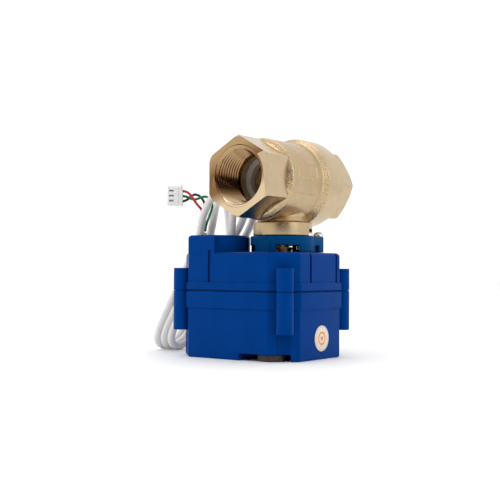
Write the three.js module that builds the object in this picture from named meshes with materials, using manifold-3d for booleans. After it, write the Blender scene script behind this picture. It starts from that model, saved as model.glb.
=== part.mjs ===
// Motorized ball valve: a two-part plastic actuator box, a yoke, and a two-piece brass ball valve.
// Millimetres. The origin is the centre of the box's footprint, on the surface that it stands on.
// +X is the actuator's right, +Y runs along the valve from inlet to outlet, +Z points up.

import * as THREE from 'three';
import { mergeVertices } from 'three/addons/utils/BufferGeometryUtils.js';
import Module from 'manifold-3d';

const wasm = await Module();
wasm.setup();

// ---- driving dimensions ----

const GAP = 0.3; // between pieces that touch

const BOX_HALF_X = 33.25;
const BOX_HALF_Y = 27.3;
const BOX_CHAMFER = 10.45; // leg of each vertical corner's flat
const CAVITY_CHAMFER = 11.0;
const WALL = 2.0;
const BOX_TOP = 49.1;
const SEAM_LOW = 31.0; // the gasket fills the seam between these two heights
const SEAM_HIGH = 31.4;
const BAND_LOW = 23.0;
const BAND_HIGH = 35.2;
const BAND_PROUD = 0.8;
const FLOOR = 2.5;

const POST_X = 29.8;
const POST_Y = 23.9;
const POST_R = 3.95;
const POST_LOW = 12.5;
const POST_HIGH = 41.8;
const CHANNEL_R = 4.1;

const BOSS_X = -16.2;
const BOSS_Y = -12.4;
const BOSS_R = 14.7;
const BOSS_TOP = 57.2;
const BOSS_BLOCK = [-23.2, -7.6]; // flat-fronted part of the boss, along X

const CABLE_D = 3.8;
const CABLE_EXIT = [-15.2, -3.8];
const WIRE_D = 1.3;

const RECESS_X = [6.8, 30.3];
const RECESS_BACK = -7.4;
const RECESS_DEPTH = 3.3;
const RECESS_ROOF = 5.3;

const STEM_X = 12.0; // the valve stem, the output shaft and the yoke share this axis, at y = 0
const VALVE_Z = 82.6; // height of the flow axis

const YOKE_LOW = BOX_TOP + GAP;
const YOKE_TOP = 56.8;
const YOKE_R = 15.2;
const YOKE_HALF_X = 14.6;
const YOKE_BACK = 13.6;
const YOKE_WINDOW_TOP = 52.6;
const YOKE_SCREW_X = 11.78; // from the stem axis
const YOKE_SCREWS_Y = [3.7, 12.9];

const HEX_AF = 32.1;
const PORT_END = 35.5; // distance of each port face from the stem axis
const THREAD_R = 12.65; // mean radius of the G 3/4 thread
const THREAD_LENGTH = 17.0;
const MOUTH_R = 13.4;
const BALL_R = 13.5;
const WATERWAY_R = 8.25;
const SEAT_CLEARANCE = 0.15;

const COARSE_MODULE = 0.8; // output gear and the two pinions that mesh with it
const FINE_MODULE = 0.6; // the two reduction wheels and their pinions
const OUTPUT_TEETH = 40;
const PINION_TEETH = 11;
const WHEEL_TEETH = 36;
const FINE_PINION_TEETH = 10;
const GEAR_B_ANGLE = 155; // degrees, direction of gear B's axle from the output axis
const OVERRIDE_ANGLE = -68.8; // degrees, direction of the override shaft from the output axis

const PLATE_LOW = 23.0;
const PLATE_HIGH = 24.6;
const MOTOR_R = 10.2;
const MOTOR_TOP = 52.0;

// ---- materials ----

const finish = (color, roughness, metalness) =>
  new THREE.MeshStandardMaterial({ color, roughness, metalness });
const plastic = (color, roughness = 0.45) => finish(color, roughness, 0);
const metal = (color, roughness = 0.3) => finish(color, roughness, 1);

const bluePlastic = plastic(0x003b85);
const tealPlastic = plastic(0x005a8c);
const nickelBrass = metal(0xc8b28e);
const steel = metal(0x9a9c9e);
const acetal = plastic(0xe6e2d6);
const teflon = plastic(0xeceae4, 0.35);
const blackPlastic = plastic(0x202022);
const brownPlastic = plastic(0x443432);
const whitePlastic = plastic(0xe9e9e6, 0.35);
const greenBoard = plastic(0x1d5a34);
const darkRubber = plastic(0x1c1c1e, 0.8);
const cableWhite = plastic(0xcfcfd0);
const paper = plastic(0xe8dccb, 0.7);
const tinned = metal(0xc9c9c4, 0.25);
const wireColours = { red: plastic(0xc8313a), green: plastic(0x0d7a55), black: plastic(0x3a2a24) };

// ---- solids ----

function solid(geometry) {
  const bare = new THREE.BufferGeometry();
  bare.setAttribute('position', geometry.getAttribute('position'));
  if (geometry.index) bare.setIndex(geometry.index);
  const welded = mergeVertices(bare, 1e-5);
  const vertProperties = new Float32Array(welded.getAttribute('position').array);
  const triVerts = outwardTriangles(vertProperties, welded.index.array);
  return new wasm.Manifold(new wasm.Mesh({ numProp: 3, vertProperties, triVerts }));
}

// Drops triangles that collapsed on an axis, and turns the rest outward if the volume comes out negative.
function outwardTriangles(positions, index) {
  const kept = [];
  let volume = 0;
  for (let i = 0; i < index.length; i += 3) {
    const [a, b, c] = [index[i], index[i + 1], index[i + 2]];
    if (a === b || b === c || c === a) continue;
    kept.push(a, b, c);
    const [p, q, r] = [a, b, c].map((k) => new THREE.Vector3().fromArray(positions, 3 * k));
    volume += p.dot(q.cross(r));
  }
  if (volume < 0) kept.reverse();
  return new Uint32Array(kept);
}

const join = (...parts) => parts.reduce((whole, part) => whole.add(part));
const cut = (body, ...tools) => tools.reduce((whole, tool) => whole.subtract(tool), body);

function block(x, y, z) {
  const geometry = new THREE.BoxGeometry(x[1] - x[0], y[1] - y[0], z[1] - z[0]);
  return solid(geometry.translate((x[0] + x[1]) / 2, (y[0] + y[1]) / 2, (z[0] + z[1]) / 2));
}

// Upright round bar; its centre and its z range are given.
function rod(radius, z, x = 0, y = 0, segments = 16) {
  const geometry = new THREE.CylinderGeometry(radius, radius, z[1] - z[0], segments).rotateX(Math.PI / 2);
  return solid(geometry.translate(x, y, (z[0] + z[1]) / 2));
}

// Shape in the XY plane, extruded upward.
function prism(shape, z) {
  const geometry = new THREE.ExtrudeGeometry(shape, { depth: z[1] - z[0], bevelEnabled: false });
  return solid(geometry.translate(0, 0, z[0]));
}

const vectors = (points) => points.map(([u, v]) => new THREE.Vector2(u, v));

// Profile of [radius, z] turned about an upright axis.
function turnedUp(points, x = 0, y = 0, segments = 20) {
  return solid(new THREE.LatheGeometry(vectors(points), segments).rotateX(Math.PI / 2).translate(x, y, 0));
}

// Profile of [radius, y] turned about the flow axis.
function turnedAlongFlow(points, segments = 30) {
  return solid(new THREE.LatheGeometry(vectors(points), segments).translate(STEM_X, 0, VALVE_Z));
}

function octagon(halfX, halfY, leg) {
  const shape = new THREE.Shape();
  shape.moveTo(-halfX + leg, -halfY);
  shape.lineTo(halfX - leg, -halfY);
  shape.lineTo(halfX, -halfY + leg);
  shape.lineTo(halfX, halfY - leg);
  shape.lineTo(halfX - leg, halfY);
  shape.lineTo(-halfX + leg, halfY);
  shape.lineTo(-halfX, halfY - leg);
  shape.lineTo(-halfX, -halfY + leg);
  shape.closePath();
  return shape;
}

// The box's outline, moved inward by `inset` (outward when negative).
function boxOutline(inset) {
  return octagon(BOX_HALF_X - inset, BOX_HALF_Y - inset, BOX_CHAMFER - inset * (2 - Math.SQRT2));
}

const cavityOutline = (inset = 0) =>
  octagon(BOX_HALF_X - WALL - inset, BOX_HALF_Y - WALL - inset, CAVITY_CHAMFER - inset * (2 - Math.SQRT2));

const corners = [[1, -1], [1, 1], [-1, 1], [-1, -1]].map(([sx, sy]) => [sx * POST_X, sy * POST_Y]);
const polar = (radius, degrees) => {
  const turn = THREE.MathUtils.degToRad(degrees);
  return [radius * Math.cos(turn), radius * Math.sin(turn)];
};

// ---- scene graph ----

const valveActuator = new THREE.Group();

function addNode(name, body, material, position = [0, 0, 0], turn = 0) {
  const { vertProperties, triVerts } = body.getMesh();
  const geometry = new THREE.BufferGeometry();
  geometry.setAttribute('position', new THREE.BufferAttribute(vertProperties, 3));
  geometry.setIndex(new THREE.BufferAttribute(triVerts, 1));
  geometry.computeVertexNormals();
  const mesh = new THREE.Mesh(geometry, material);
  mesh.name = name;
  mesh.position.set(...position);
  mesh.rotation.z = turn;
  valveActuator.add(mesh);
}

// ---- layout of the gear train and the fasteners ----

// Where two circles about the points p and q cross, on the right of the line from p to q.
function crossing(p, radiusP, q, radiusQ) {
  const span = Math.hypot(q[0] - p[0], q[1] - p[1]);
  const along = (span ** 2 + radiusP ** 2 - radiusQ ** 2) / (2 * span);
  const aside = Math.sqrt(radiusP ** 2 - along ** 2);
  const u = [(q[0] - p[0]) / span, (q[1] - p[1]) / span];
  return [p[0] + along * u[0] + aside * u[1], p[1] + along * u[1] - aside * u[0]];
}

const direction = (from, to) => THREE.MathUtils.radToDeg(Math.atan2(to[1] - from[1], to[0] - from[0]));

// First-tooth angle that puts a follower's gap opposite its driver's tooth, along the line of centres.
function meshedTooth(driverTeeth, driverTooth, followerTeeth, lineOfCentres) {
  const phase = ((lineOfCentres - driverTooth) * driverTeeth) / 360;
  const offset = phase - Math.round(phase);
  return lineOfCentres + 180 + ((offset + 0.5) * 360) / followerTeeth;
}

const coarseCentres = ((OUTPUT_TEETH + PINION_TEETH) * COARSE_MODULE) / 2;
const fineCentres = ((WHEEL_TEETH + FINE_PINION_TEETH) * FINE_MODULE) / 2;
const fromOutput = (degrees) => {
  const [x, y] = polar(coarseCentres, degrees);
  return [STEM_X + x, y];
};
const motorAxis = [BOSS_X, BOSS_Y];
const gearB = fromOutput(GEAR_B_ANGLE);
const gearA = crossing(gearB, fineCentres, motorAxis, fineCentres);
const overrideAxis = fromOutput(OVERRIDE_ANGLE);
const platePosts = [[24.0, 18.0], [-27.5, 14.5]];
const boardPegs = [[27.4, -10.0], [1.0, 20.0]];
const yokeScrewAxes = [1, -1].flatMap((side) =>
  YOKE_SCREWS_Y.map((y) => [STEM_X + side * YOKE_SCREW_X, y]));
const valveScrewAxes = [45, 225].map((degrees) => {
  const [x, y] = polar(9.0, degrees);
  return [STEM_X + x, y];
});

// ---- box ----

function lowerCover() {
  const shell = join(
    prism(boxOutline(0), [0, SEAM_LOW]),
    prism(boxOutline(-BAND_PROUD), [BAND_LOW, SEAM_LOW]),
    ...corners.map(([x, y]) => rod(POST_R, [POST_LOW, SEAM_LOW], x, y)),
  );
  const inside = cut(
    prism(cavityOutline(), [FLOOR, SEAM_LOW + 1]),
    block([RECESS_X[0] - WALL, BOX_HALF_X], [-BOX_HALF_Y, RECESS_BACK + WALL], [0, RECESS_ROOF]),
    rod(5.6, [0, 6.5], STEM_X, 0),
    rod(2.4, [0, 13.0], ...gearA),
    rod(2.4, [0, 7.0], ...gearB),
    ...platePosts.map(([x, y]) => rod(2.6, [0, PLATE_LOW - GAP], x, y)),
  );
  return cut(
    shell,
    inside,
    cut(prism(boxOutline(0.6), [30.2, SEAM_LOW + 1]), prism(boxOutline(1.5), [30, SEAM_LOW + 2])),
    ...corners.flatMap(([x, y]) => [
      rod(CHANNEL_R, [-1, POST_LOW], x, y),
      rod(2.9, [POST_LOW - 1, 16.3], x, y, 24),
      rod(1.6, [16, SEAM_LOW + 1], x, y, 12),
    ]),
    block(RECESS_X, [-BOX_HALF_Y - 1, RECESS_BACK], [-1, RECESS_DEPTH]),
    rod(2.3, [RECESS_DEPTH - 1, RECESS_ROOF + 1], ...overrideAxis, 24),
    rod(3.1, [3.2, 7], STEM_X, 0, 24),
    rod(1.3, [3.0, 14], ...gearA, 12),
    rod(1.3, [3.0, 8], ...gearB, 12),
    ...platePosts.map(([x, y]) => rod(1.25, [15, PLATE_LOW], x, y, 12)),
  );
}

function upperHousing() {
  const shell = join(
    prism(boxOutline(0), [SEAM_HIGH, BOX_TOP]),
    prism(boxOutline(-BAND_PROUD), [SEAM_HIGH, BAND_HIGH]),
    ...corners.map(([x, y]) => rod(POST_R, [SEAM_HIGH, POST_HIGH], x, y)),
    rod(BOSS_R, [BOX_TOP - 1, BOSS_TOP], BOSS_X, BOSS_Y, 36),
    block(BOSS_BLOCK, [-BOX_HALF_Y + 0.1, BOSS_Y], [BOX_TOP - 1, BOSS_TOP]),
  );
  const inside = cut(
    prism(cavityOutline(), [SEAM_HIGH - 1, BOX_TOP - WALL]),
    ...yokeScrewAxes.map(([x, y]) => rod(2.4, [42.5, BOX_TOP], x, y, 12)),
  );
  const grooveZ = [BAND_HIGH, BOX_TOP + 1];
  return cut(
    shell,
    inside,
    rod(BOSS_R - WALL, [BOX_TOP - 4, BOSS_TOP - WALL], BOSS_X, BOSS_Y, 30),
    rod(5.2, [BOX_TOP - 4, BOX_TOP + 1], STEM_X, 0),
    rod(3.4, [BOSS_TOP - 3, BOSS_TOP + 1], ...CABLE_EXIT, 24),
    block([-11.25, -9.75], [-BOX_HALF_Y - 1, -BOX_HALF_Y + 0.6], grooveZ),
    ...[-8.3, 13.8].map((y) => block([BOX_HALF_X - 0.6, BOX_HALF_X + 1], [y - 0.75, y + 0.75], grooveZ)),
    ...corners.map(([x, y]) => rod(1.6, [SEAM_HIGH - 1, 39.5], x, y, 12)),
    ...yokeScrewAxes.map(([x, y]) => rod(1.5, [43.5, BOX_TOP + 1], x, y, 12)),
  );
}

const lidGasket = () => cut(prism(boxOutline(0.75), [30.4, 31.3]), prism(boxOutline(1.35), [30, 32]));

// Bush in the boss's roof: a neck in the hole and a flange under the roof.
function cableGrommet() {
  const lip = BOSS_TOP + 0.4;
  const profile = [[2.2, 54.0], [3.7, 54.0], [3.7, 54.9], [3.1, 54.9], [3.1, lip], [2.2, lip]];
  return turnedUp([...profile, profile[0]], ...CABLE_EXIT, 24);
}

// ---- fasteners ----

// Cylinder head at the bottom with a slot, shank upward; z = 0 is the head's outer face.
function capScrew(headR, headHeight, shankR, length) {
  return cut(
    join(rod(headR, [0, headHeight], 0, 0, 12), rod(shankR, [headHeight - 0.1, length], 0, 0, 8)),
    block([-headR * 0.6, headR * 0.6], [-0.4, 0.4], [-1, headHeight / 2]),
  );
}

// Domed head with a slot on top, shank downward; z = 0 is the head's seat.
function panScrew(headR, headHeight, shankR, length) {
  const profile = [
    [0, -length],
    [shankR, -length],
    [shankR, 0],
    [headR, 0],
    [headR, headHeight * 0.5],
    [headR * 0.7, headHeight],
    [0, headHeight],
  ];
  return cut(
    turnedUp(profile, 0, 0, 12),
    block([-headR * 0.6, headR * 0.6], [-0.4, 0.4], [headHeight * 0.5, headHeight + 1]),
  );
}

// ---- gear train ----

// Straight-sided teeth, four points each, thinner than half the pitch to leave backlash.
function gear(teeth, module, firstTooth, z) {
  const pitchR = (teeth * module) / 2;
  const step = 360 / teeth;
  const points = Array.from({ length: teeth }, (_, i) => firstTooth + i * step).flatMap((centre) => [
    polar(pitchR - 1.2 * module, centre - 0.33 * step),
    polar(pitchR + 0.75 * module, centre - 0.1 * step),
    polar(pitchR + 0.75 * module, centre + 0.1 * step),
    polar(pitchR - 1.2 * module, centre + 0.33 * step),
  ]);
  return prism(new THREE.Shape(vectors(points)), z);
}

const outputGear = () =>
  cut(gear(OUTPUT_TEETH, COARSE_MODULE, 0, [8.0, 13.0]), block([-3.3, 3.3], [-3.3, 3.3], [7, 14]));

function compoundB() {
  const firstTooth = meshedTooth(OUTPUT_TEETH, 0, PINION_TEETH, GEAR_B_ANGLE);
  const pinion = gear(PINION_TEETH, COARSE_MODULE, firstTooth, [7.4, 14.3]);
  return cut(join(pinion, gear(WHEEL_TEETH, FINE_MODULE, 0, [14.2, 17.4])), rod(1.15, [7, 18], 0, 0, 12));
}

function compoundA() {
  const firstTooth = meshedTooth(WHEEL_TEETH, 0, FINE_PINION_TEETH, direction(gearB, gearA));
  const pinion = gear(FINE_PINION_TEETH, FINE_MODULE, firstTooth, [13.6, 18.1]);
  return cut(join(pinion, gear(WHEEL_TEETH, FINE_MODULE, 0, [18.0, 21.0])), rod(1.15, [13, 22], 0, 0, 12));
}

function motorPinion() {
  const firstTooth = meshedTooth(WHEEL_TEETH, 0, FINE_PINION_TEETH, direction(gearA, motorAxis));
  return cut(gear(FINE_PINION_TEETH, FINE_MODULE, firstTooth, [17.8, 22.2]), rod(1.3, [17, 23], 0, 0, 12));
}

function overrideShaft() {
  const firstTooth = meshedTooth(OUTPUT_TEETH, 0, PINION_TEETH, OVERRIDE_ANGLE);
  return join(
    rod(2.0, [1.8, 7.5], 0, 0, 20),
    gear(PINION_TEETH, COARSE_MODULE, firstTooth, [7.4, 13.6]),
    rod(1.2, [13.5, 24.3], 0, 0, 12),
  );
}

const overrideKnob = () =>
  cut(
    turnedUp([[0, 0.3], [6.1, 0.3], [6.4, 0.6], [6.4, 2.7], [6.1, 3.0], [0, 3.0]]),
    rod(2.3, [1.5, 4], 0, 0, 20),
    block([-4.6, 4.6], [-0.8, 0.8], [-1, 1.1]),
  );

function motorCan() {
  const ring = [[MOTOR_R, 24.9], [MOTOR_R, 36], [9.8, 36.4], [9.8, 50.4]];
  const rearBearing = [[4, 50.4], [4, MOTOR_TOP]];
  return cut(turnedUp([[0, 24.9], ...ring, ...rearBearing, [0, MOTOR_TOP]]), rod(1.4, [24, 28], 0, 0, 12));
}

function gearPlate() {
  const pegs = boardPegs.map(([x, y]) => rod(1.9, [PLATE_HIGH - 0.1, 26.7], x, y, 12));
  return cut(
    join(prism(cavityOutline(0.4), [PLATE_LOW, PLATE_HIGH]), ...pegs),
    rod(4.5, [22, 26], STEM_X, 0),
    rod(1.6, [22, 26], ...motorAxis, 12),
    ...[gearA, gearB].map(([x, y]) => rod(1.3, [22, 26], x, y, 12)),
    rod(1.5, [22, 26], ...overrideAxis, 12),
    ...platePosts.map(([x, y]) => rod(1.35, [22, 26], x, y, 12)),
    ...boardPegs.map(([x, y]) => rod(1.1, [22, 28], x, y, 12)),
  );
}

const circuitBoard = () =>
  cut(
    prism(cavityOutline(0.6), [27.0, 28.6]).intersect(block([-3, 40], [-40, 40], [26, 30])),
    rod(8.4, [26, 30], STEM_X, 0),
    ...boardPegs.map(([x, y]) => rod(1.1, [26, 30], x, y, 12)),
  );

// Body of the switch with its leaf towards the cam; `side` is +1 behind the shaft, -1 in front of it.
function limitSwitch(side) {
  const range = (a, b) => [Math.min(side * a, side * b), Math.max(side * a, side * b)];
  return join(
    block([STEM_X - 6.4, STEM_X + 6.4], range(10.2, 16), [28.9, 35.4]),
    block([STEM_X - 6.0, STEM_X - 5.2], range(8.9, 10.4), [30.6, 33.8]),
    block([STEM_X - 6.0, STEM_X + 5.0], range(8.9, 9.3), [30.6, 33.8]),
  );
}

// Disc with two lobes a quarter turn apart, one for each end of the stroke.
function limitCam() {
  const z = [31, 34.4];
  return cut(join(rod(5.9, z), rod(1.8, z, 0, 5.9), rod(1.8, z, 5.9, 0)), rod(4.3, [30, 35]));
}

const outputShaft = () =>
  cut(
    join(
      rod(2.8, [3.5, 7], 0, 0, 16),
      rod(4.0, [6.9, 7.7], 0, 0, 16),
      block([-3.0, 3.0], [-3.0, 3.0], [7.6, 13.4]),
      rod(4.0, [13.3, 46.0], 0, 0, 16),
      rod(4.8, [45.9, 51.8], 0, 0, 16),
    ),
    block([-2.3, 2.3], [-2.3, 2.3], [47.0, 53]),
  );

// ---- yoke ----

function yokeBracket() {
  const z = [YOKE_LOW, YOKE_TOP];
  const hollowZ = [YOKE_LOW - 1, YOKE_WINDOW_TOP];
  const body = join(
    rod(YOKE_R, z, STEM_X, 0, 36),
    block([STEM_X - YOKE_HALF_X, STEM_X + YOKE_HALF_X], [0, YOKE_BACK], z),
    block([STEM_X - 2.9, STEM_X + 2.9], [-YOKE_R - 0.4, -12], [YOKE_LOW, 54.8]),
  );
  const hollow = cut(
    rod(12.6, hollowZ, STEM_X, 0, 30),
    ...yokeScrewAxes.map(([x, y]) => rod(2.7, hollowZ, x, y, 12)),
  );
  const window = (degrees) => {
    const geometry = new THREE.BoxGeometry(8, 11.6, hollowZ[1] - hollowZ[0]).translate(14.5, 0, 0);
    geometry.rotateZ(THREE.MathUtils.degToRad(degrees));
    return solid(geometry.translate(STEM_X, 0, (hollowZ[0] + hollowZ[1]) / 2));
  };
  const sideNotch = (x) => block([x - 1.4, x + 1.4], [5.7, 9.4], hollowZ);
  return cut(
    body,
    hollow,
    window(-45),
    window(-135),
    sideNotch(STEM_X - 14.2),
    sideNotch(STEM_X + 14.2),
    ...[[2.5, 10.4], [13.6, 21.5]].map((x) => block(x, [10, YOKE_BACK + 1], hollowZ)),
    rod(4.0, [50, YOKE_TOP + 1], STEM_X, 0),
    ...yokeScrewAxes.map(([x, y]) => rod(1.5, [48, YOKE_TOP + 1], x, y, 12)),
    ...valveScrewAxes.map(([x, y]) => rod(1.7, [50, YOKE_TOP + 1], x, y, 12)),
  );
}

// ---- valve ----

// Hexagonal bar along the flow axis; turned 0 it has corners above and below, turned 30 to the sides.
function hexBar(y, turned) {
  const cornerR = HEX_AF / 2 / Math.cos(Math.PI / 6);
  const geometry = new THREE.CylinderGeometry(cornerR, cornerR, y[1] - y[0], 6);
  geometry.rotateY(THREE.MathUtils.degToRad(turned));
  return solid(geometry.translate(STEM_X, (y[0] + y[1]) / 2, VALVE_Z));
}

function valveBody() {
  const near = -PORT_END;
  const faceR = HEX_AF / 2 + 1.5;
  const hexagon = hexBar([near, -20], 0).intersect(
    turnedAlongFlow([[0, near], [faceR, near], [faceR + 1.1, near + 0.9], [faceR + 1.1, -20], [0, -20]]),
  );
  const barrel = turnedAlongFlow(
    [[0, -20.3], [16, -20.3], [18.8, -19], [18.8, 5.5], [21.2, 7.8], [21.2, 18.3], [0, 18.3]],
    36,
  );
  const neckProfile = [[0, 57.1], [14, 57.1], [14, 62.6], [12.6, 63.6], [11.4, 66], [11.4, 72], [0, 72]];
  const neck = turnedUp(neckProfile, STEM_X, 0, 30);
  const bore = turnedAlongFlow([
    [0, near - 0.5],
    [MOUTH_R + 0.5, near - 0.5],
    [THREAD_R, near + 0.8],
    [THREAD_R, near + THREAD_LENGTH],
    [11.0, near + THREAD_LENGTH],
    [11.0, -14.5],
    [11.9, -14.5],
    [11.9, -9.6],
    [14.2, -9.6],
    [14.2, 9.4],
    [16.7, 9.4],
    [16.7, 19],
    [0, 19],
  ]);
  return cut(
    join(hexagon, barrel, neck),
    bore,
    rod(3.9, [56, 70], STEM_X, 0, 24),
    rod(5.9, [66.6, 72], STEM_X, 0, 24),
    ...valveScrewAxes.map(([x, y]) => rod(1.6, [56, 62], x, y, 12)),
    ...yokeScrewAxes.map(([x, y]) => rod(3.0, [56, 60.2], x, y, 16)),
  );
}

function endCap() {
  const far = PORT_END;
  const faceR = HEX_AF / 2 + 1.5;
  const hexagon = hexBar([22.7, far], 30).intersect(
    turnedAlongFlow([[0, 22.7], [faceR + 1.1, 22.7], [faceR + 1.1, far - 0.9], [faceR, far], [0, far]]),
  );
  const spigot = turnedAlongFlow(
    [[0, 9.7], [16.4, 9.7], [16.4, 18.6], [20.6, 18.6], [20.6, 21.6], [19, 23], [0, 23]],
  );
  const bore = turnedAlongFlow([
    [0, 9],
    [11.9, 9],
    [11.9, 14.5],
    [11.0, 14.5],
    [11.0, far - THREAD_LENGTH],
    [THREAD_R, far - THREAD_LENGTH],
    [THREAD_R, far - 0.8],
    [MOUTH_R + 0.5, far + 0.5],
    [0, far + 0.5],
  ]);
  return cut(join(hexagon, spigot), bore);
}

// Ring whose inner corner is hollowed to the ball; `side` is -1 at the inlet and +1 at the outlet.
function seatRing(side) {
  const hollowR = BALL_R + SEAT_CLEARANCE;
  const hollowed = [9.4, 8.95, 8.5].map((radius) => [radius, side * Math.sqrt(hollowR ** 2 - radius ** 2)]);
  const back = side * 14.2;
  const profile = [[8.5, back], [11.6, back], [11.6, hollowed[0][1]], ...hollowed, [8.5, back]];
  return turnedAlongFlow(profile);
}

// Modelled about the stem axis: the waterway runs along y, and the slot for the stem across it.
function ball() {
  const sphere = new THREE.SphereGeometry(BALL_R, 24, 14).rotateX(Math.PI / 2).translate(0, 0, VALVE_Z);
  const waterway = new THREE.CylinderGeometry(WATERWAY_R, WATERWAY_R, 30, 24).translate(0, 0, VALVE_Z);
  return cut(solid(sphere), solid(waterway), block([-15, 15], [-2.3, 2.3], [68, 73.2]));
}

function stem() {
  const grooveHalf = 0.85;
  const profile = [[0, 52], [3.4, 52]];
  for (const z of ringHeights) {
    const [low, high] = [z - grooveHalf, z + grooveHalf];
    profile.push([3.4, low], [2.3, low], [2.3, high], [3.4, high]);
  }
  profile.push([3.4, 67.5], [5.5, 67.5], [5.5, 68.8], [0, 68.8]);
  return join(
    block([-2.0, 2.0], [-2.0, 2.0], [47.4, 52.1]),
    turnedUp(profile, 0, 0, 16),
    block([-4.6, 4.6], [-2.0, 2.0], [68.7, 72.6]),
  );
}

const ringHeights = [59.5, 62.8];
const stemRing = (z) => solid(new THREE.TorusGeometry(3.06, 0.7, 6, 16).translate(0, 0, z));
const stemWasher = () =>
  turnedUp([[3.7, 66.8], [5.6, 66.8], [5.6, 67.2], [3.7, 67.2], [3.7, 66.8]], STEM_X, 0, 24);

// ---- cable, wires and connector ----

// Three turns hang over the box's left edge and rest on their feet, half-rings that lean on the floor.
const FOOT_R = 9.4;
const FOOT_LEAN = [0.47, 0.883]; // direction of the straight runs above a foot, in x and z
const FOOT_HEIGHT = CABLE_D / 2 + 0.15; // the cable's centre, just clear of the floor
function foot(tipX) {
  return [90, 60, 30, 0, -30, -60, -90].map((degrees) => {
    const turn = THREE.MathUtils.degToRad(degrees);
    const rise = FOOT_R * (1 - Math.cos(turn));
    return [tipX + FOOT_LEAN[0] * rise, FOOT_R * Math.sin(turn), FOOT_HEIGHT + FOOT_LEAN[1] * rise];
  });
}

const cableRoute = [
  [-15.2, -3.8, 54.3], [-15.2, -3.8, 64], [-15.1, -3, 72], [-15.4, 0.8, 78.8], [-16.8, 6.6, 81.6],
  [-18.6, 12, 79.2], [-20.8, 15, 72.5], [-26, 15.4, 61.5], [-34.8, 14, 51.2], [-43.2, 12, 36.5],
  [-50.4, 10.4, 22.8],
  ...foot(-61.6),
  [-50.4, -9.2, 23], [-43.8, -7.2, 37.5], [-39.2, -5, 49], [-36.4, -3.4, 58], [-34, -3, 68],
  [-30, -0.6, 77.4], [-25, 4.8, 83.6], [-20.4, 12, 85.4], [-18.4, 19, 80.4], [-20.8, 22.4, 70],
  [-27, 22.6, 58.5], [-34.5, 21.6, 50], [-40.6, 17.6, 37.5], [-45.9, 12.2, 23],
  ...foot(-57),
  [-45.8, -8.4, 23], [-41.6, -3.2, 35], [-38.8, 2.4, 47], [-37.2, 6.2, 58], [-36.4, 8, 66.5],
  [-36.8, 10.6, 73.8], [-38.2, 15.6, 79], [-40.2, 21.6, 78.6], [-41.4, 26, 71.6], [-41.2, 27.6, 60],
  [-38.8, 27.6, 49], [-37.2, 26, 38], [-39.4, 20, 27.5], [-43.2, 12, 19],
  ...foot(-52.4),
  [-41.8, -8.6, 22], [-38.6, -6, 33], [-37.1, -3, 42.5], [-36.9, -0.6, 51], [-37.1, 1, 59.5],
];
const wireRoutes = {
  red: [
    [-37.5, 0, 60.2], [-37.9, 0.4, 64], [-38.2, 1.1, 68], [-38.2, 0.6, 71.2], [-38.1, -2, 73],
    [-37.9, -4.9, 75], [-38.5, -6.8, 77.4], [-40.1, -7.8, 79.4], [-42.5, -8.5, 80.2], [-44.1, -9.7, 80.2],
    [-45.5, -10.8, 80.2],
  ],
  green: [
    [-36.2, 1.1, 60.2], [-35.8, 1.7, 64], [-34.9, 3.1, 68.5], [-34.1, 4.1, 73], [-34.7, 3.2, 76.6],
    [-36, 0.7, 77.8], [-37.2, -1.9, 77], [-38.5, -4.1, 76.2], [-40, -5.7, 76.5], [-41.2, -7.1, 77.3],
    [-42.5, -8.5, 77.7], [-44.1, -9.7, 77.7], [-45.5, -10.8, 77.7],
  ],
  black: [
    [-37.8, 1.8, 60.2], [-37.9, 2.5, 64], [-37.8, 3.1, 68], [-37.7, 3.2, 72], [-38.1, 2.1, 75.6],
    [-39.2, 0.1, 78.2], [-40.4, -2.3, 78.8], [-41.6, -4.1, 77.6], [-42, -6.2, 76], [-42.5, -8.5, 75.2],
    [-44.1, -9.7, 75.2], [-45.5, -10.8, 75.2],
  ],
};
const CONNECTOR = {
  place: [-45.7, -10.9, 77.7],
  turn: 36.5, // degrees about z
  length: 7.6,
  depth: 5.8,
  height: 9.8,
  pitch: 2.5, // between the contacts
};

function tube(points, diameter, steps) {
  const section = new THREE.Shape();
  section.absarc(0, 0, diameter / 2, 0, 2 * Math.PI);
  const knots = points.map((point) => new THREE.Vector3(...point));
  const extrudePath = new THREE.CatmullRomCurve3(knots, false, 'centripetal');
  return solid(new THREE.ExtrudeGeometry(section, { steps, curveSegments: 4, extrudePath }));
}

// Modelled lying along x: the wires enter at +x, and three chambers run through at the pin pitch.
const chamberHeights = [1, 0, -1].map((row) => row * CONNECTOR.pitch);
function connectorHousing() {
  const { length, depth, height } = CONNECTOR;
  const half = length / 2;
  return cut(
    join(
      block([-half, half], [-depth / 2, depth / 2], [-height / 2, height / 2]),
      block([half - 1.2, half], [-depth / 2 - 0.5, -depth / 2 + 1], [-height / 2 - 0.4, -height / 2 + 1]),
      block([half - 1.2, half], [-depth / 2 - 0.5, -depth / 2 + 1], [height / 2 - 1, height / 2 + 0.4]),
    ),
    ...chamberHeights.map((z) => block([-half - 1, half + 1], [-0.9, 0.9], [z - 0.9, z + 0.9])),
  );
}
const connectorContact = (z) => block([-2.6, -0.2], [-0.5, 0.5], [z - 0.5, z + 0.5]);

// ---- label ----

function inspectionSticker() {
  const disc = new THREE.CylinderGeometry(5.9, 5.9, 0.2, 32).rotateZ(Math.PI / 2);
  return solid(disc.translate(BOX_HALF_X + 0.15, 0.9, 9.7));
}

// ---- the assembly ----

addNode('lower_cover', lowerCover(), bluePlastic);
addNode('upper_housing', upperHousing(), bluePlastic);
addNode('lid_gasket', lidGasket(), darkRubber);
addNode('cable_grommet', cableGrommet(), darkRubber);
addNode('inspection_sticker', inspectionSticker(), paper);
corners.forEach(([x, y], i) =>
  addNode(`housing_screw_${i + 1}`, capScrew(2.6, 2.0, 1.3, 24.5), steel, [x, y, 14.0]));

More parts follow.
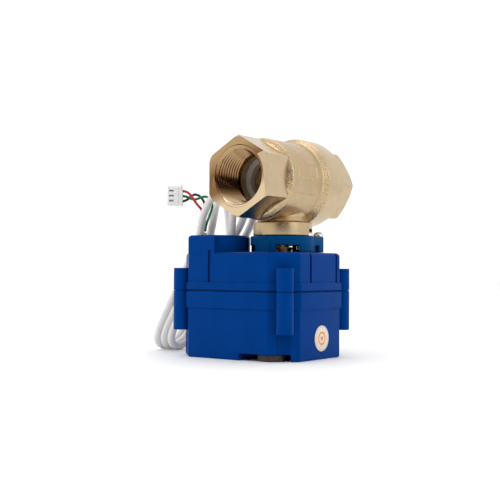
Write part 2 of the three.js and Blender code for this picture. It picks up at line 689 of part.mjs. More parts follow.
addNode('gear_plate', gearPlate(), steel);
platePosts.forEach(([x, y], i) =>
  addNode(`plate_screw_${i + 1}`, panScrew(2.2, 1.6, 1.0, 7), steel, [x, y, PLATE_HIGH + 0.1]));
addNode('gear_axle_a', rod(1.0, [3.3, 24.4], 0, 0, 12), steel, [...gearA, 0]);
addNode('gear_axle_b', rod(1.0, [3.3, 24.4], 0, 0, 12), steel, [...gearB, 0]);
addNode('motor', motorCan(), steel, [...motorAxis, 0]);
addNode('motor_shaft', rod(1.0, [17.6, 27.6], 0, 0, 12), steel, [...motorAxis, 0]);
addNode('motor_pinion', motorPinion(), nickelBrass, [...motorAxis, 0]);
addNode('gear_a', compoundA(), acetal, [...gearA, 0]);
addNode('gear_b', compoundB(), acetal, [...gearB, 0]);
addNode('output_gear', outputGear(), acetal, [STEM_X, 0, 0]);
addNode('output_shaft', outputShaft(), steel, [STEM_X, 0, 0]);
addNode('limit_cam', limitCam(), blackPlastic, [STEM_X, 0, 0]);
addNode('override_shaft', overrideShaft(), steel, [...overrideAxis, 0]);
addNode('override_knob', overrideKnob(), brownPlastic, [...overrideAxis, 0]);
addNode('circuit_board', circuitBoard(), greenBoard);
boardPegs.forEach(([x, y], i) =>
  addNode(`board_screw_${i + 1}`, panScrew(1.8, 1.3, 0.8, 4), steel, [x, y, 28.7]));
addNode('limit_switch_open', limitSwitch(1), blackPlastic);
addNode('limit_switch_closed', limitSwitch(-1), blackPlastic);

addNode('yoke_bracket', yokeBracket(), tealPlastic);
yokeScrewAxes.forEach(([x, y], i) =>
  addNode(`yoke_screw_${i + 1}`, panScrew(2.5, 2.3, 1.2, 10.5), steel, [x, y, YOKE_TOP + 0.1]));
valveScrewAxes.forEach(([x, y], i) =>
  addNode(`valve_screw_${i + 1}`, capScrew(2.3, 1.8, 1.2, 10), steel, [x, y, 50.6]));

addNode('valve_body', valveBody(), nickelBrass);
addNode('end_cap', endCap(), nickelBrass);
addNode('seat_ring_inlet', seatRing(-1), teflon);
addNode('seat_ring_outlet', seatRing(1), teflon);
addNode('ball', ball(), nickelBrass, [STEM_X, 0, 0]);
addNode('stem', stem(), nickelBrass, [STEM_X, 0, 0]);
addNode('stem_o_ring_lower', stemRing(ringHeights[0]), darkRubber, [STEM_X, 0, 0]);
addNode('stem_o_ring_upper', stemRing(ringHeights[1]), darkRubber, [STEM_X, 0, 0]);
addNode('stem_washer', stemWasher(), teflon);

addNode('cable', tube(cableRoute, CABLE_D, 64), cableWhite);
for (const [colour, points] of Object.entries(wireRoutes)) {
  addNode(`wire_${colour}`, tube(points, WIRE_D, 12), wireColours[colour]);
}
const connectorTurn = THREE.MathUtils.degToRad(CONNECTOR.turn);
addNode('connector_housing', connectorHousing(), whitePlastic, CONNECTOR.place, connectorTurn);
chamberHeights.forEach((z, i) =>
  addNode(`connector_contact_${i + 1}`, connectorContact(z), tinned, CONNECTOR.place, connectorTurn));

export default valveActuator;
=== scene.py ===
"""Looks of a motorized ball valve: a blue actuator box, a teal yoke and a nickel-plated brass valve.

Shapes are written in millimetres in the row frame and scaled to metres as each mesh is made.
+X is the actuator's right, +Y runs along the valve from inlet to outlet, +Z points up.
"""

import math

import bmesh
import bpy
from mathutils import Matrix, Vector


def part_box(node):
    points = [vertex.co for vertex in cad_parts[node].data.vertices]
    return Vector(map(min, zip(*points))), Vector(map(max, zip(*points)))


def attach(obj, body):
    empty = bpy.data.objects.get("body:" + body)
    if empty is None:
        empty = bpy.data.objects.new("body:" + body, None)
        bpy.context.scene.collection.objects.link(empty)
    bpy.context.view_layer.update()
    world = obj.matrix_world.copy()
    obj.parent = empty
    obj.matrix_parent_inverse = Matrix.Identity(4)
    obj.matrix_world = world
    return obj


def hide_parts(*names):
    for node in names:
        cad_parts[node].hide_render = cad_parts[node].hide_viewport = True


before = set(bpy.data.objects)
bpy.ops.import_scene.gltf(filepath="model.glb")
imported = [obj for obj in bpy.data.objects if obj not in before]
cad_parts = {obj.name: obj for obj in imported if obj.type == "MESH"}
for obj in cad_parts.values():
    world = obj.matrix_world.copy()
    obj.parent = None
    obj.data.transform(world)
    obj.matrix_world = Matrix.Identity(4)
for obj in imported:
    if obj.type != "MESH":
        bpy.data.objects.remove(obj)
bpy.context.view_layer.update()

# ---- driving dimensions, in millimetres ----

MM = 0.001
FULL_TURN = 2 * math.pi


def box_mm(node):
    """Lowest and highest corner of a CAD node, in millimetres."""
    low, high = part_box(node)
    return [v / MM for v in low], [v / MM for v in high]


BODY_LOW = box_mm("valve_body")[0]
CAP_LOW, CAP_HIGH = box_mm("end_cap")
BALL_LOW, BALL_HIGH = box_mm("ball")
YOKE_LOW, YOKE_HIGH = box_mm("yoke_bracket")
LID_LOW, LID_HIGH = box_mm("upper_housing")
COVER_HIGH = box_mm("lower_cover")[1]
KNOB_LOW, KNOB_HIGH = box_mm("override_knob")
STICKER_LOW, STICKER_HIGH = box_mm("inspection_sticker")

STICKER_R = (STICKER_HIGH[1] - STICKER_LOW[1]) / 2
STEM_X = (BALL_LOW[0] + BALL_HIGH[0]) / 2
VALVE_Z = (CAP_LOW[2] + CAP_HIGH[2]) / 2

BOX_HALF_X = 33.25
BOX_HALF_Y = 27.3
BOX_CHAMFER = 10.45
BOX_EDGE_R = 0.7  # rounding of the box's upright edges
WALL = 2.0
FLOOR = 2.5
BOX_TOP = 49.1
TOP_FILLET = 1.9
SEAM_LOW = COVER_HIGH[2]
SEAM_HIGH = LID_LOW[2]
BAND_LOW = 23.0
BAND_HIGH = 35.2
BAND_PROUD = 0.78
POST_X = 29.8
POST_Y = 23.9
POST_R = 3.95
POST_LOW = 12.5
POST_HIGH = 41.8
CHANNEL_R = 4.1
GROOVE = 1.5
GROOVE_DEPTH = 0.9
FRONT_GROOVE_X = -10.5
SIDE_GROOVES_Y = (-8.3, 13.8)
SCREW_HOLE_R = 1.5
HOUSING_SHANK_R = 1.3
HOUSING_HOLE_R = 1.6
BOSS = (-16.2, -12.4)
BOSS_R = 14.7
BOSS_TOP = LID_HIGH[2]
BOSS_BLOCK = (-23.2, -7.6)
OVERRIDE_AXIS = ((KNOB_LOW[0] + KNOB_HIGH[0]) / 2, (KNOB_LOW[1] + KNOB_HIGH[1]) / 2)
OVERRIDE_BORE_R = 2.3
RECESS_X = (6.8, 30.3)
RECESS_BACK = -7.4
RECESS_DEPTH = 3.3
RECESS_ROOF = 5.3

YOKE_R = 15.2
YOKE_HALF_X = 14.6
YOKE_BACK = 13.6
YOKE_FILLET = 0.5
WINDOW_TOP = 52.6
YOKE_HOLLOW_R = 12.6
YOKE_SCREW_X = 11.78  # from the stem axis
YOKE_SCREWS_Y = (3.7, 12.9)
VALVE_SCREW_OFFSET = 6.364  # of the two screws up into the neck, from the stem axis in x and in y
SCREW_HEAD_R = 2.5
SCREW_HEAD_H = 2.3

HEX_AF = 32.1
HEX_CONE_R = 18.75  # wide end of the cone that takes the hexagon's corners off
PORT_END = -BODY_LOW[1]
BARREL_R = 18.8
RING_R = 21.2
CAP_POCKET_R = 16.7  # the outlet half screws in here
CHAMBER_R = 14.2
SEAT_POCKET_R = 11.9
SEAT_BACK = 14.2  # distance of each seat's back from the ball's centre
SEAT_R = (8.5, 11.6)
SEAT_CLEARANCE = 0.15
THREAD_MAJOR_R = 13.22
THREAD_MINOR_R = 12.06
THREAD_PITCH = 1.814
THREAD_LENGTH = 16.6
MOUTH_R = 13.9
STEP_R = 11.0
BALL_R = 13.5
WATERWAY_R = 8.25

CABLE_D = 3.8
WIRE_D = 1.3
CABLE_EXIT = (-15.2, -3.8)
FOOT_R = 9.4
FOOT_LEAN = (0.47, 0.883)
FOOT_HEIGHT = CABLE_D / 2 + 0.15

POSTS = [(sx * POST_X, sy * POST_Y) for sx, sy in ((1, -1), (1, 1), (-1, 1), (-1, -1))]
YOKE_SCREWS = [(STEM_X + side * YOKE_SCREW_X, y) for side in (1, -1) for y in YOKE_SCREWS_Y]
VALVE_SCREWS = [(STEM_X + side * VALVE_SCREW_OFFSET, side * VALVE_SCREW_OFFSET) for side in (1, -1)]


def add_object(name, data):
    made = bpy.data.objects.new(name, data)
    bpy.context.scene.collection.objects.link(made)
    return made


# ---- camera ----

CAMERA_PLACE = (0.2666, -0.3700, 0.0405)
CAMERA_AZIMUTH = math.radians(36.497)
CAMERA_PITCH = math.radians(1.26)
CAMERA_ROLL = math.radians(0.315)
LENS = 68.4


def make_camera():
    """A camera that looks at the azimuth and pitch above, 0.46 m from the object."""
    forward = Vector((
        -math.sin(CAMERA_AZIMUTH) * math.cos(CAMERA_PITCH),
        math.cos(CAMERA_AZIMUTH) * math.cos(CAMERA_PITCH),
        math.sin(CAMERA_PITCH),
    ))
    level = Vector((math.cos(CAMERA_AZIMUTH), math.sin(CAMERA_AZIMUTH), 0))
    upright = level.cross(forward)
    right = level * math.cos(CAMERA_ROLL) + upright * math.sin(CAMERA_ROLL)
    up = upright * math.cos(CAMERA_ROLL) - level * math.sin(CAMERA_ROLL)
    data = bpy.data.cameras.new("camera")
    data.lens = LENS
    data.sensor_width = 36
    data.clip_start = 0.01
    camera = add_object("camera", data)
    axes = Matrix((right, up, -forward)).transposed().to_4x4()
    camera.matrix_world = Matrix.Translation(CAMERA_PLACE) @ axes
    bpy.context.scene.camera = camera


# ---- node materials ----


# Direction of the painted light in the bores: painted highlight on this side, painted shade away from it
PAINTED_LIGHT_DIRECTION = (0.35 / MM, 0, -0.94 / MM)  # towards a bore's bright side; metres to millimetres


def set_sockets(node, values):
    for socket, value in values.items():
        node.inputs[socket].default_value = value


class Finish:
    """A Principled material under construction; its methods add one feature each."""

    def __init__(self, name, colour, roughness, metallic=0.0, specular=0.5):
        self.material = bpy.data.materials.new(name)
        self.material.use_nodes = True
        self.tree = self.material.node_tree
        self.shader = self.tree.nodes["Principled BSDF"]
        set_sockets(self.shader, {
            "Metallic": metallic,
            "Specular IOR Level": specular,
            "Roughness": roughness,
            "Base Color": (*colour, 1),
        })
        self.place = self.node("ShaderNodeTexCoord").outputs["Object"]
        self.normal = None

    def node(self, kind, values=None, **settings):
        """A new node with the given socket values and settings."""
        made = self.tree.nodes.new(kind)
        for key, value in settings.items():
            setattr(made, key, value)
        set_sockets(made, values or {})
        return made

    def link(self, source, target):
        self.tree.links.new(source, target)

    def drive(self, socket, source):
        """Feeds the named socket of the shader."""
        self.link(source, self.shader.inputs[socket])

    def noise(self, size_mm, detail=3.0, stretch=(1, 1, 1)):
        """Noise whose blotches are about size_mm across."""
        mapping = self.node("ShaderNodeMapping", {"Scale": [1 / (size_mm * MM) * s for s in stretch]})
        texture = self.node("ShaderNodeTexNoise", {"Scale": 1.0, "Detail": detail})
        self.link(self.place, mapping.inputs["Vector"])
        self.link(mapping.outputs[0], texture.inputs["Vector"])
        return texture.outputs["Fac"]

    def ramp(self, source, stops):
        """Colour ramp with the given (position, colour) stops."""
        ramp = self.node("ShaderNodeValToRGB")
        elements = ramp.color_ramp.elements
        while len(elements) < len(stops):
            elements.new(0.5)
        for element, (position, colour) in zip(elements, stops):
            element.position = position
            element.color = (*colour, 1)
        self.link(source, ramp.inputs["Fac"])
        return ramp.outputs["Color"]

    def mottle(self, size_mm, first, second, detail=4.0):
        """Base colour that drifts between two shades."""
        shades = self.ramp(self.noise(size_mm, detail), [(0.3, first), (0.7, second)])
        self.drive("Base Color", shades)
        return self

    def uneven_gloss(self, size_mm, low, high, stretch=(1, 1, 1)):
        """Roughness that drifts between two values."""
        span = {"From Min": 0.3, "From Max": 0.7, "To Min": low, "To Max": high}
        spread = self.node("ShaderNodeMapRange", span)
        self.link(self.noise(size_mm, 3.0, stretch), spread.inputs["Value"])
        self.drive("Roughness", spread.outputs[0])
        return self

    def soft_edges(self, radius_mm):
        """Edges that catch the light as if rounded."""
        bevel = self.node("ShaderNodeBevel", {"Radius": radius_mm * MM}, samples=4)
        self.normal = bevel.outputs["Normal"]
        self.drive("Normal", self.normal)
        return self

    def grain(self, size_mm, height_mm, strength=1.0, detail=3.0):
        """Bump of the given grain size and height."""
        return self.bump(self.noise(size_mm, detail), height_mm, strength)

    def bump(self, source, height_mm, strength=1.0):
        bump = self.node("ShaderNodeBump", {"Distance": height_mm * MM, "Strength": strength})
        self.link(source, bump.inputs["Height"])
        if self.normal:
            self.link(self.normal, bump.inputs["Normal"])
        self.normal = bump.outputs["Normal"]
        self.drive("Normal", self.normal)
        return self


def moulded_plastic(name, light, dark, roughness=0.34):
    """Dyed plastic whose faint reflections keep the colour of the dye."""
    finish = Finish(name, light, roughness, specular=0.04)
    finish.shader.inputs["Specular Tint"].default_value = (0.25, 0.55, 1.0, 1)
    finish.mottle(9.0, dark, light, 5.0)
    finish.uneven_gloss(3.0, roughness - 0.05, roughness + 0.08)
    finish.soft_edges(0.25)
    finish.grain(0.35, 0.012, 0.6)
    return finish.material


def blue_housing():
    return moulded_plastic("blue_housing", (0.0, 0.042, 0.226), (0.0, 0.037, 0.203))


def teal_yoke():
    return moulded_plastic("teal_yoke", (0.0, 0.064, 0.212), (0.0, 0.053, 0.180), 0.38)


def turned_brass():
    finish = Finish("turned_brass", (0.53, 0.41, 0.26), 0.2, 1.0)
    finish.mottle(4.0, (0.51, 0.39, 0.243), (0.55, 0.43, 0.277))
    finish.uneven_gloss(1.2, 0.18, 0.27)
    finish.soft_edges(0.18)
    return finish.grain(0.9, 0.003, 0.35).material


def thread_brass():
    """Brass with painted shade, dark brown on the upper and side walls of the bore, and a painted
    highlight, bright along its bottom.
    """
    finish = Finish("thread_brass", (0.62, 0.44, 0.25), 0.16, 1.0)
    axis = (STEM_X * MM, 0, VALVE_Z * MM)
    shift = finish.node("ShaderNodeVectorMath", {1: axis}, operation="SUBTRACT")
    downward = finish.node("ShaderNodeVectorMath", {1: PAINTED_LIGHT_DIRECTION}, operation="DOT_PRODUCT")
    span = {"From Min": -THREAD_MAJOR_R, "From Max": THREAD_MAJOR_R}
    spread = finish.node("ShaderNodeMapRange", span)
    finish.link(finish.place, shift.inputs[0])
    finish.link(shift.outputs[0], downward.inputs[0])
    finish.link(downward.outputs["Value"], spread.inputs["Value"])
    # painted shade: dark brown over the upper and side walls of the bore; painted highlight: bright brass
    # along its bottom
    stops = [
        (0.0, (0.44, 0.29, 0.15)), (0.3, (0.22, 0.11, 0.045)), (0.6, (0.24, 0.125, 0.055)),
        (0.85, (0.70, 0.54, 0.34)),
    ]
    finish.drive("Base Color", finish.ramp(spread.outputs[0], stops))
    return finish.uneven_gloss(0.8, 0.12, 0.2).material


def satin_brass():
    finish = Finish("satin_brass", (0.49, 0.365, 0.215), 0.3, 1.0)
    finish.mottle(5.0, (0.470, 0.345, 0.200), (0.510, 0.385, 0.230))
    finish.uneven_gloss(1.5, 0.26, 0.36)
    finish.soft_edges(0.2)
    return finish.grain(0.45, 0.009, 0.6, 4.0).material


def cast_brass():
    finish = Finish("cast_brass", (0.50, 0.38, 0.22), 0.28, 1.0)
    finish.mottle(0.8, (0.40, 0.29, 0.16), (0.60, 0.46, 0.28))
    finish.uneven_gloss(0.6, 0.2, 0.34)
    return finish.grain(0.45, 0.13, 1.0, 3.0).material


def bare_metal(name, colour, roughness):
    finish = Finish(name, colour, roughness, 1.0)
    finish.mottle(2.0, [0.88 * c for c in colour], [1.05 * c for c in colour])
    finish.uneven_gloss(0.6, roughness - 0.06, roughness + 0.12, (1, 1, 0.1))
    finish.soft_edges(0.1)
    finish.grain(0.25, 0.006, 0.6)
    return finish.material


def plain_plastic(name, light, dark, roughness=0.4, specular=0.4, grain=0.02):
    finish = Finish(name, light, roughness, specular=specular)
    finish.mottle(3.0, dark, light)
    finish.uneven_gloss(1.5, roughness - 0.06, roughness + 0.1)
    finish.soft_edges(0.12)
    finish.grain(0.4, grain, 0.7)
    return finish.material


def rubber():
    finish = Finish("black_rubber", (0.018, 0.018, 0.019), 0.7, specular=0.3)
    finish.mottle(1.0, (0.014, 0.014, 0.015), (0.026, 0.026, 0.027))
    finish.grain(0.2, 0.02)
    return finish.material


def jacket(name, light, dark, roughness=0.42):
    finish = Finish(name, light, roughness, specular=0.45)
    finish.mottle(6.0, dark, light, 5.0)
    finish.uneven_gloss(2.0, roughness - 0.05, roughness + 0.12)
    finish.grain(0.5, 0.02, 0.6)
    return finish.material


def printed_circuit():
    """Green lacquer over wandering copper tracks."""
    finish = Finish("circuit_board", (0, 0.11, 0.04), 0.35)
    tracks = finish.node("ShaderNodeTexBrick", {
        "Scale": 1 / (4.0 * MM),
        "Mortar Size": 0.02,
        "Color1": (0.008, 0.085, 0.03, 1),
        "Color2": (0.010, 0.100, 0.035, 1),
        "Mortar": (0.05, 0.22, 0.07, 1),
    })
    finish.link(finish.place, tracks.inputs["Vector"])
    finish.drive("Base Color", tracks.outputs["Color"])
    finish.bump(tracks.outputs["Fac"], 0.04, 0.5)
    return finish.material


def printed_sticker():
    """Cream paper with two orange rings printed about the sticker's centre."""
    finish = Finish("printed_sticker", (0.78, 0.70, 0.60), 0.55, specular=0.3)
    centre = [(low + high) / 2 * MM for low, high in zip(STICKER_LOW, STICKER_HIGH)]
    shift = finish.node("ShaderNodeVectorMath", {1: centre}, operation="SUBTRACT")
    flatten = finish.node("ShaderNodeVectorMath", {1: (0, 1 / MM, 1 / MM)}, operation="MULTIPLY")
    length = finish.node("ShaderNodeVectorMath", operation="LENGTH")
    finish.link(finish.place, shift.inputs[0])
    finish.link(shift.outputs[0], flatten.inputs[0])
    finish.link(flatten.outputs[0], length.inputs[0])
    scaled = finish.node("ShaderNodeMath", {1: STICKER_R}, operation="DIVIDE")
    finish.link(length.outputs["Value"], scaled.inputs[0])
    paper, ink, ring = (0.80, 0.72, 0.62), (0.86, 0.26, 0.05), (0.62, 0.53, 0.44)
    stops = [(0.0, ink), (0.17, paper), (0.38, ink), (0.52, paper), (0.86, ring), (0.92, paper)]
    ramp = finish.ramp(scaled.outputs[0], stops)
    finish.tree.nodes["Color Ramp"].color_ramp.interpolation = "CONSTANT"
    worn = finish.ramp(finish.noise(0.9, 4.0), [(0.36, (0.86, 0.82, 0.78)), (0.5, (1.0, 1.0, 1.0))])
    mix = finish.node("ShaderNodeMix", {"Factor": 1.0}, data_type="RGBA", blend_type="MULTIPLY")
    finish.link(ramp, mix.inputs["A"])
    finish.link(worn, mix.inputs["B"])
    finish.drive("Base Color", mix.outputs["Result"])
    return finish.grain(0.15, 0.01).material


BLUE = blue_housing()
TEAL = teal_yoke()
TURNED = turned_brass()
THREAD = thread_brass()
SATIN = satin_brass()
CAST = cast_brass()
ZINC = bare_metal("zinc_steel", (0.62, 0.62, 0.61), 0.26)
SCREW_METAL = bare_metal("screw_metal", (0.72, 0.72, 0.71), 0.2)
DULL_STEEL = bare_metal("dull_steel", (0.22, 0.22, 0.23), 0.45)
BALL_METAL = bare_metal("oiled_ball", (0.34, 0.22, 0.12), 0.2)
COPPER = bare_metal("bronze_shaft", (0.55, 0.30, 0.16), 0.3)
ACETAL = plain_plastic("white_acetal", (0.80, 0.77, 0.68), (0.75, 0.72, 0.63))
TEFLON = plain_plastic("white_teflon", (0.60, 0.56, 0.49), (0.52, 0.48, 0.42), 0.3)
BLACK = plain_plastic("black_plastic", (0.020, 0.020, 0.022), (0.012, 0.012, 0.013))
BROWN = plain_plastic("brown_plastic", (0.062, 0.038, 0.034), (0.040, 0.024, 0.022), 0.42)
WHITE = plain_plastic("white_nylon", (0.88, 0.88, 0.87), (0.84, 0.84, 0.83), 0.35, 0.4, 0.004)
RUBBER = rubber()
BOARD = printed_circuit()
JACKET = jacket("grey_jacket", (0.80, 0.785, 0.765), (0.72, 0.705, 0.69))
RED = jacket("red_insulation", (0.60, 0.025, 0.040), (0.50, 0.018, 0.030), 0.36)
GREEN = jacket("green_insulation", (0.0, 0.21, 0.10), (0.0, 0.16, 0.075), 0.36)
DARK = jacket("dark_insulation", (0.045, 0.024, 0.017), (0.030, 0.016, 0.012), 0.36)
STICKER = printed_sticker()
TINNED = bare_metal("tinned_contact", (0.55, 0.55, 0.54), 0.3)

# ---- mesh helpers ----


def new_piece(name, mesh, materials):
    made = add_object(name, mesh)
    mesh.materials.clear()
    for material in materials:
        mesh.materials.append(material)
    for face in mesh.polygons:
        face.material_index = 0
    return made


def mesh_of(points, faces):
    """A mesh in millimetres, with its faces pointing outward."""
    mesh = bpy.data.meshes.new("solid")
    mesh.from_pydata([tuple(p) for p in points], [], faces)
    work = bmesh.new()
    work.from_mesh(mesh)
    bmesh.ops.remove_doubles(work, verts=work.verts, dist=1e-5)
    bmesh.ops.recalc_face_normals(work, faces=work.faces)
    work.to_mesh(mesh)
    work.free()
    return mesh


def loft(rings, closed=False):
    """Skin over equal rings of points; capped at both ends, or joined last to first when closed."""
    count = len(rings[0])
    points = [p for ring in rings for p in ring]
    faces = []
    spans = len(rings) if closed else len(rings) - 1
    for k in range(spans):
        a, b = k * count, (k + 1) % len(rings) * count
        for i in range(count):
            j = (i + 1) % count
            faces.append((a + i, a + j, b + j, b + i))
    if not closed:
        faces.append(tuple(reversed(range(count))))
        faces.append(tuple(range((len(rings) - 1) * count, len(rings) * count)))
    return mesh_of(points, faces)


def arc(centre, radius, start, stop, steps):
    """Points on an arc, angles in degrees."""
    angles = [math.radians(start + (stop - start) * k / steps) for k in range(steps + 1)]
    return [(centre[0] + radius * math.cos(t), centre[1] + radius * math.sin(t)) for t in angles]


def rounded(points, radius, steps=4, closed=True):
    """The outline with each corner replaced by an arc; a radius per corner may be given."""
    count = len(points)
    radii = radius if isinstance(radius, (list, tuple)) else [radius] * count
    out = []
    for i, here in enumerate(points):
        if radii[i] <= 0 or (not closed and i in (0, count - 1)):
            out.append(tuple(here))
            continue
        corner = Vector(here)
        before = Vector(points[i - 1]) - corner
        after = Vector(points[(i + 1) % count]) - corner
        half = before.angle(after) / 2
        reach = radii[i] / math.tan(half)
        start = corner + before.normalized() * reach
        bisector = (before.normalized() + after.normalized()).normalized()
        middle = corner + bisector * radii[i] / math.sin(half)
        stop = corner + after.normalized() * reach
        for k in range(steps + 1):
            spoke = (start - middle).lerp(stop - middle, k / steps)
            out.append(tuple(middle + spoke.normalized() * radii[i]))
    return out


def inset(points, distance):
    """A closed counter-clockwise outline moved inward."""
    count = len(points)
    out = []
    for i in range(count):
        before = (Vector(points[i]) - Vector(points[i - 1])).normalized()
        after = (Vector(points[(i + 1) % count]) - Vector(points[i])).normalized()
        turn = (before + after).normalized()
        normal = Vector((-turn.y, turn.x))
        share = max(0.3, normal.dot(Vector((-before.y, before.x))))
        out.append(tuple(Vector(points[i]) + normal * distance / share))
    return out


def edge_steps(z, top, bottom, steps):
    """(inset, height) of each ring of an upright prism with rounded bottom and top edges."""
    out = []
    for k in range(steps + 1 if bottom else 1):
        t = math.pi / 2 * k / steps
        out.append((bottom * (1 - math.sin(t)), z[0] + bottom * (1 - math.cos(t))))
    for k in range(steps + 1 if top else 1):
        t = math.pi / 2 * k / steps
        out.append((top * (1 - math.cos(t)), z[1] - top * (1 - math.sin(t))))
    return out


def moulded(outline, z, top=0.0, bottom=0.0, steps=4):
    """An upright prism whose top and bottom edges are rounded by the given radii."""
    return loft([
        [(x, y, height) for x, y in inset(outline, inward)]
        for inward, height in edge_steps(z, top, bottom, steps)
    ])


def chamfered(outline, z, top=0.0, bottom=0.0):
    """An upright prism with flat chamfers."""
    rings = []
    if bottom:
        rings.append([(x, y, z[0]) for x, y in inset(outline, bottom)])
    rings.append([(x, y, z[0] + bottom) for x, y in outline])
    rings.append([(x, y, z[1] - top) for x, y in outline])
    if top:
        rings.append([(x, y, z[1]) for x, y in inset(outline, top)])
    return loft(rings)


def circle(centre, radius, segments=48):
    return arc(centre, radius, 0, 360, segments)[:-1]


def rectangle(x, y):
    return [(x[0], y[0]), (x[1], y[0]), (x[1], y[1]), (x[0], y[1])]


def block(x, y, z):
    return moulded(rectangle(x, y), z)


def rod(radius, z, centre=(0, 0), segments=48):
    return moulded(circle(centre, radius, segments), z)


def rods(radius, z, centres, segments=48):
    return [rod(radius, z, centre, segments) for centre in centres]


def turned(profile, place, segments=96):
    """A closed profile of (radius, along) turned about an axis; place maps (x, y, along) to a point."""
    rings = []
    for k in range(segments):
        t = FULL_TURN * k / segments
        rings.append([place(r * math.cos(t), r * math.sin(t), along) for r, along in profile])
    return loft(rings, closed=True)


def about_flow(a, b, along):
    return (STEM_X + a, along, VALVE_Z + b)


def about_stem(a, b, along):
    return (STEM_X + a, b, along)


def combine(base, tools, operation):
    """Boolean of a mesh with each tool in turn; the result is a new mesh."""
    for tool in tools:
        first = add_object("first", base)
        second = add_object("second", tool)
        modifier = first.modifiers.new("combine", "BOOLEAN")
        modifier.operation = operation
        modifier.solver = "MANIFOLD"
        modifier.object = second
        bpy.context.view_layer.update()
        ready = first.evaluated_get(bpy.context.evaluated_depsgraph_get())
        base = bpy.data.meshes.new_from_object(ready)
        bpy.data.objects.remove(first)
        bpy.data.objects.remove(second)
    return base


def union(base, *tools):
    return combine(base, tools, "UNION")


def cut(base, *tools):
    return combine(base, tools, "DIFFERENCE")


def common(base, tool):
    return combine(base, [tool], "INTERSECT")


def smoothed(mesh, degrees=32):
    """Smooth shading, with edges sharper than the angle kept crisp."""
    work = bmesh.new()
    work.from_mesh(mesh)
    for face in work.faces:
        face.smooth = True
    for edge in work.edges:
        edge.smooth = len(edge.link_faces) == 2 and edge.calc_face_angle(0) < math.radians(degrees)
    work.to_mesh(mesh)
    work.free()
    return mesh


def joined(*meshes):
    """Several meshes in one, without a boolean."""
    work = bmesh.new()
    for mesh in meshes:
        work.from_mesh(mesh)
    out = bpy.data.meshes.new("joined")
    work.to_mesh(out)
    work.free()
    return out


def finish_piece(name, mesh, materials, node, degrees=32, body="actuator"):
    """Scales a mesh from millimetres and puts it in the scene for the CAD node that it replaces."""
    smoothed(mesh, degrees)
    mesh.transform(Matrix.Scale(MM, 4))
    piece = new_piece(name, mesh, materials)
    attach(piece, body)
    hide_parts(node)
    return piece


def paint(piece, index, chosen):
    """Gives the material of that index to every face whose centre, in millimetres, is chosen."""
    for face in piece.data.polygons:
        if chosen(face.center / MM):
            face.material_index = index


# ---- cords ----


def foot(tip_x):
    """A half-ring that leans on the floor at the bottom of a turn."""
    points = []
    for degrees in (90, 60, 30, 0, -30, -60, -90):
        turn = math.radians(degrees)
        rise = FOOT_R * (1 - math.cos(turn))
        along = FOOT_R * math.sin(turn)
        points.append((tip_x + FOOT_LEAN[0] * rise, along, FOOT_HEIGHT + FOOT_LEAN[1] * rise))
    return points


CABLE_ROUTE = [
    (-15.2, -3.8, 54.3), (-15.2, -3.8, 64), (-15.1, -3, 72), (-15.4, 0.8, 78.8), (-16.8, 6.6, 81.6),
    (-18.6, 12, 79.2), (-20.8, 15, 72.5), (-26, 15.4, 61.5), (-34.8, 14, 51.2), (-43.2, 12, 36.5),
    (-50.4, 10.4, 22.8),
    *foot(-61.6),
    (-50.4, -9.2, 23), (-43.8, -7.2, 37.5), (-39.2, -5, 49), (-36.4, -3.4, 58), (-34, -3, 68),
    (-30, -0.6, 77.4), (-25, 4.8, 83.6), (-20.4, 12, 85.4), (-18.4, 19, 80.4), (-20.8, 22.4, 70),
    (-27, 22.6, 58.5), (-34.5, 21.6, 50), (-40.6, 17.6, 37.5), (-45.9, 12.2, 23),
    *foot(-57),
    (-45.8, -8.4, 23), (-41.6, -3.2, 35), (-38.8, 2.4, 47), (-37.2, 6.2, 58), (-36.4, 8, 66.5),
    (-36.8, 10.6, 73.8), (-38.2, 15.6, 79), (-40.2, 21.6, 78.6), (-41.4, 26, 71.6), (-41.2, 27.6, 60),
    (-38.8, 27.6, 49), (-37.2, 26, 38), (-39.4, 20, 27.5), (-43.2, 12, 19),
    *foot(-52.4),
    (-41.8, -8.6, 22), (-38.6, -6, 33), (-37.1, -3, 42.5), (-36.9, -0.6, 51), (-37.1, 1, 59.5),
]
RED_ROUTE = [
    (-37.5, 0, 60.2), (-37.9, 0.4, 64), (-38.2, 1.1, 68), (-38.2, 0.6, 71.2), (-38.1, -2, 73),
    (-37.9, -4.9, 75), (-38.5, -6.8, 77.4), (-40.1, -7.8, 79.4), (-42.5, -8.5, 80.2), (-44.1, -9.7, 80.2),
    (-45.5, -10.8, 80.2),
]
GREEN_ROUTE = [
    (-36.2, 1.1, 60.2), (-35.8, 1.7, 64), (-34.9, 3.1, 68.5), (-34.1, 4.1, 73), (-34.7, 3.2, 76.6),
    (-36, 0.7, 77.8), (-37.2, -1.9, 77), (-38.5, -4.1, 76.2), (-40, -5.7, 76.5), (-41.2, -7.1, 77.3),
    (-42.5, -8.5, 77.7), (-44.1, -9.7, 77.7), (-45.5, -10.8, 77.7),
]
DARK_ROUTE = [
    (-37.8, 1.8, 60.2), (-37.9, 2.5, 64), (-37.8, 3.1, 68), (-37.7, 3.2, 72), (-38.1, 2.1, 75.6),
    (-39.2, 0.1, 78.2), (-40.4, -2.3, 78.8), (-41.6, -4.1, 77.6), (-42, -6.2, 76), (-42.5, -8.5, 75.2),
    (-44.1, -9.7, 75.2), (-45.5, -10.8, 75.2),
]


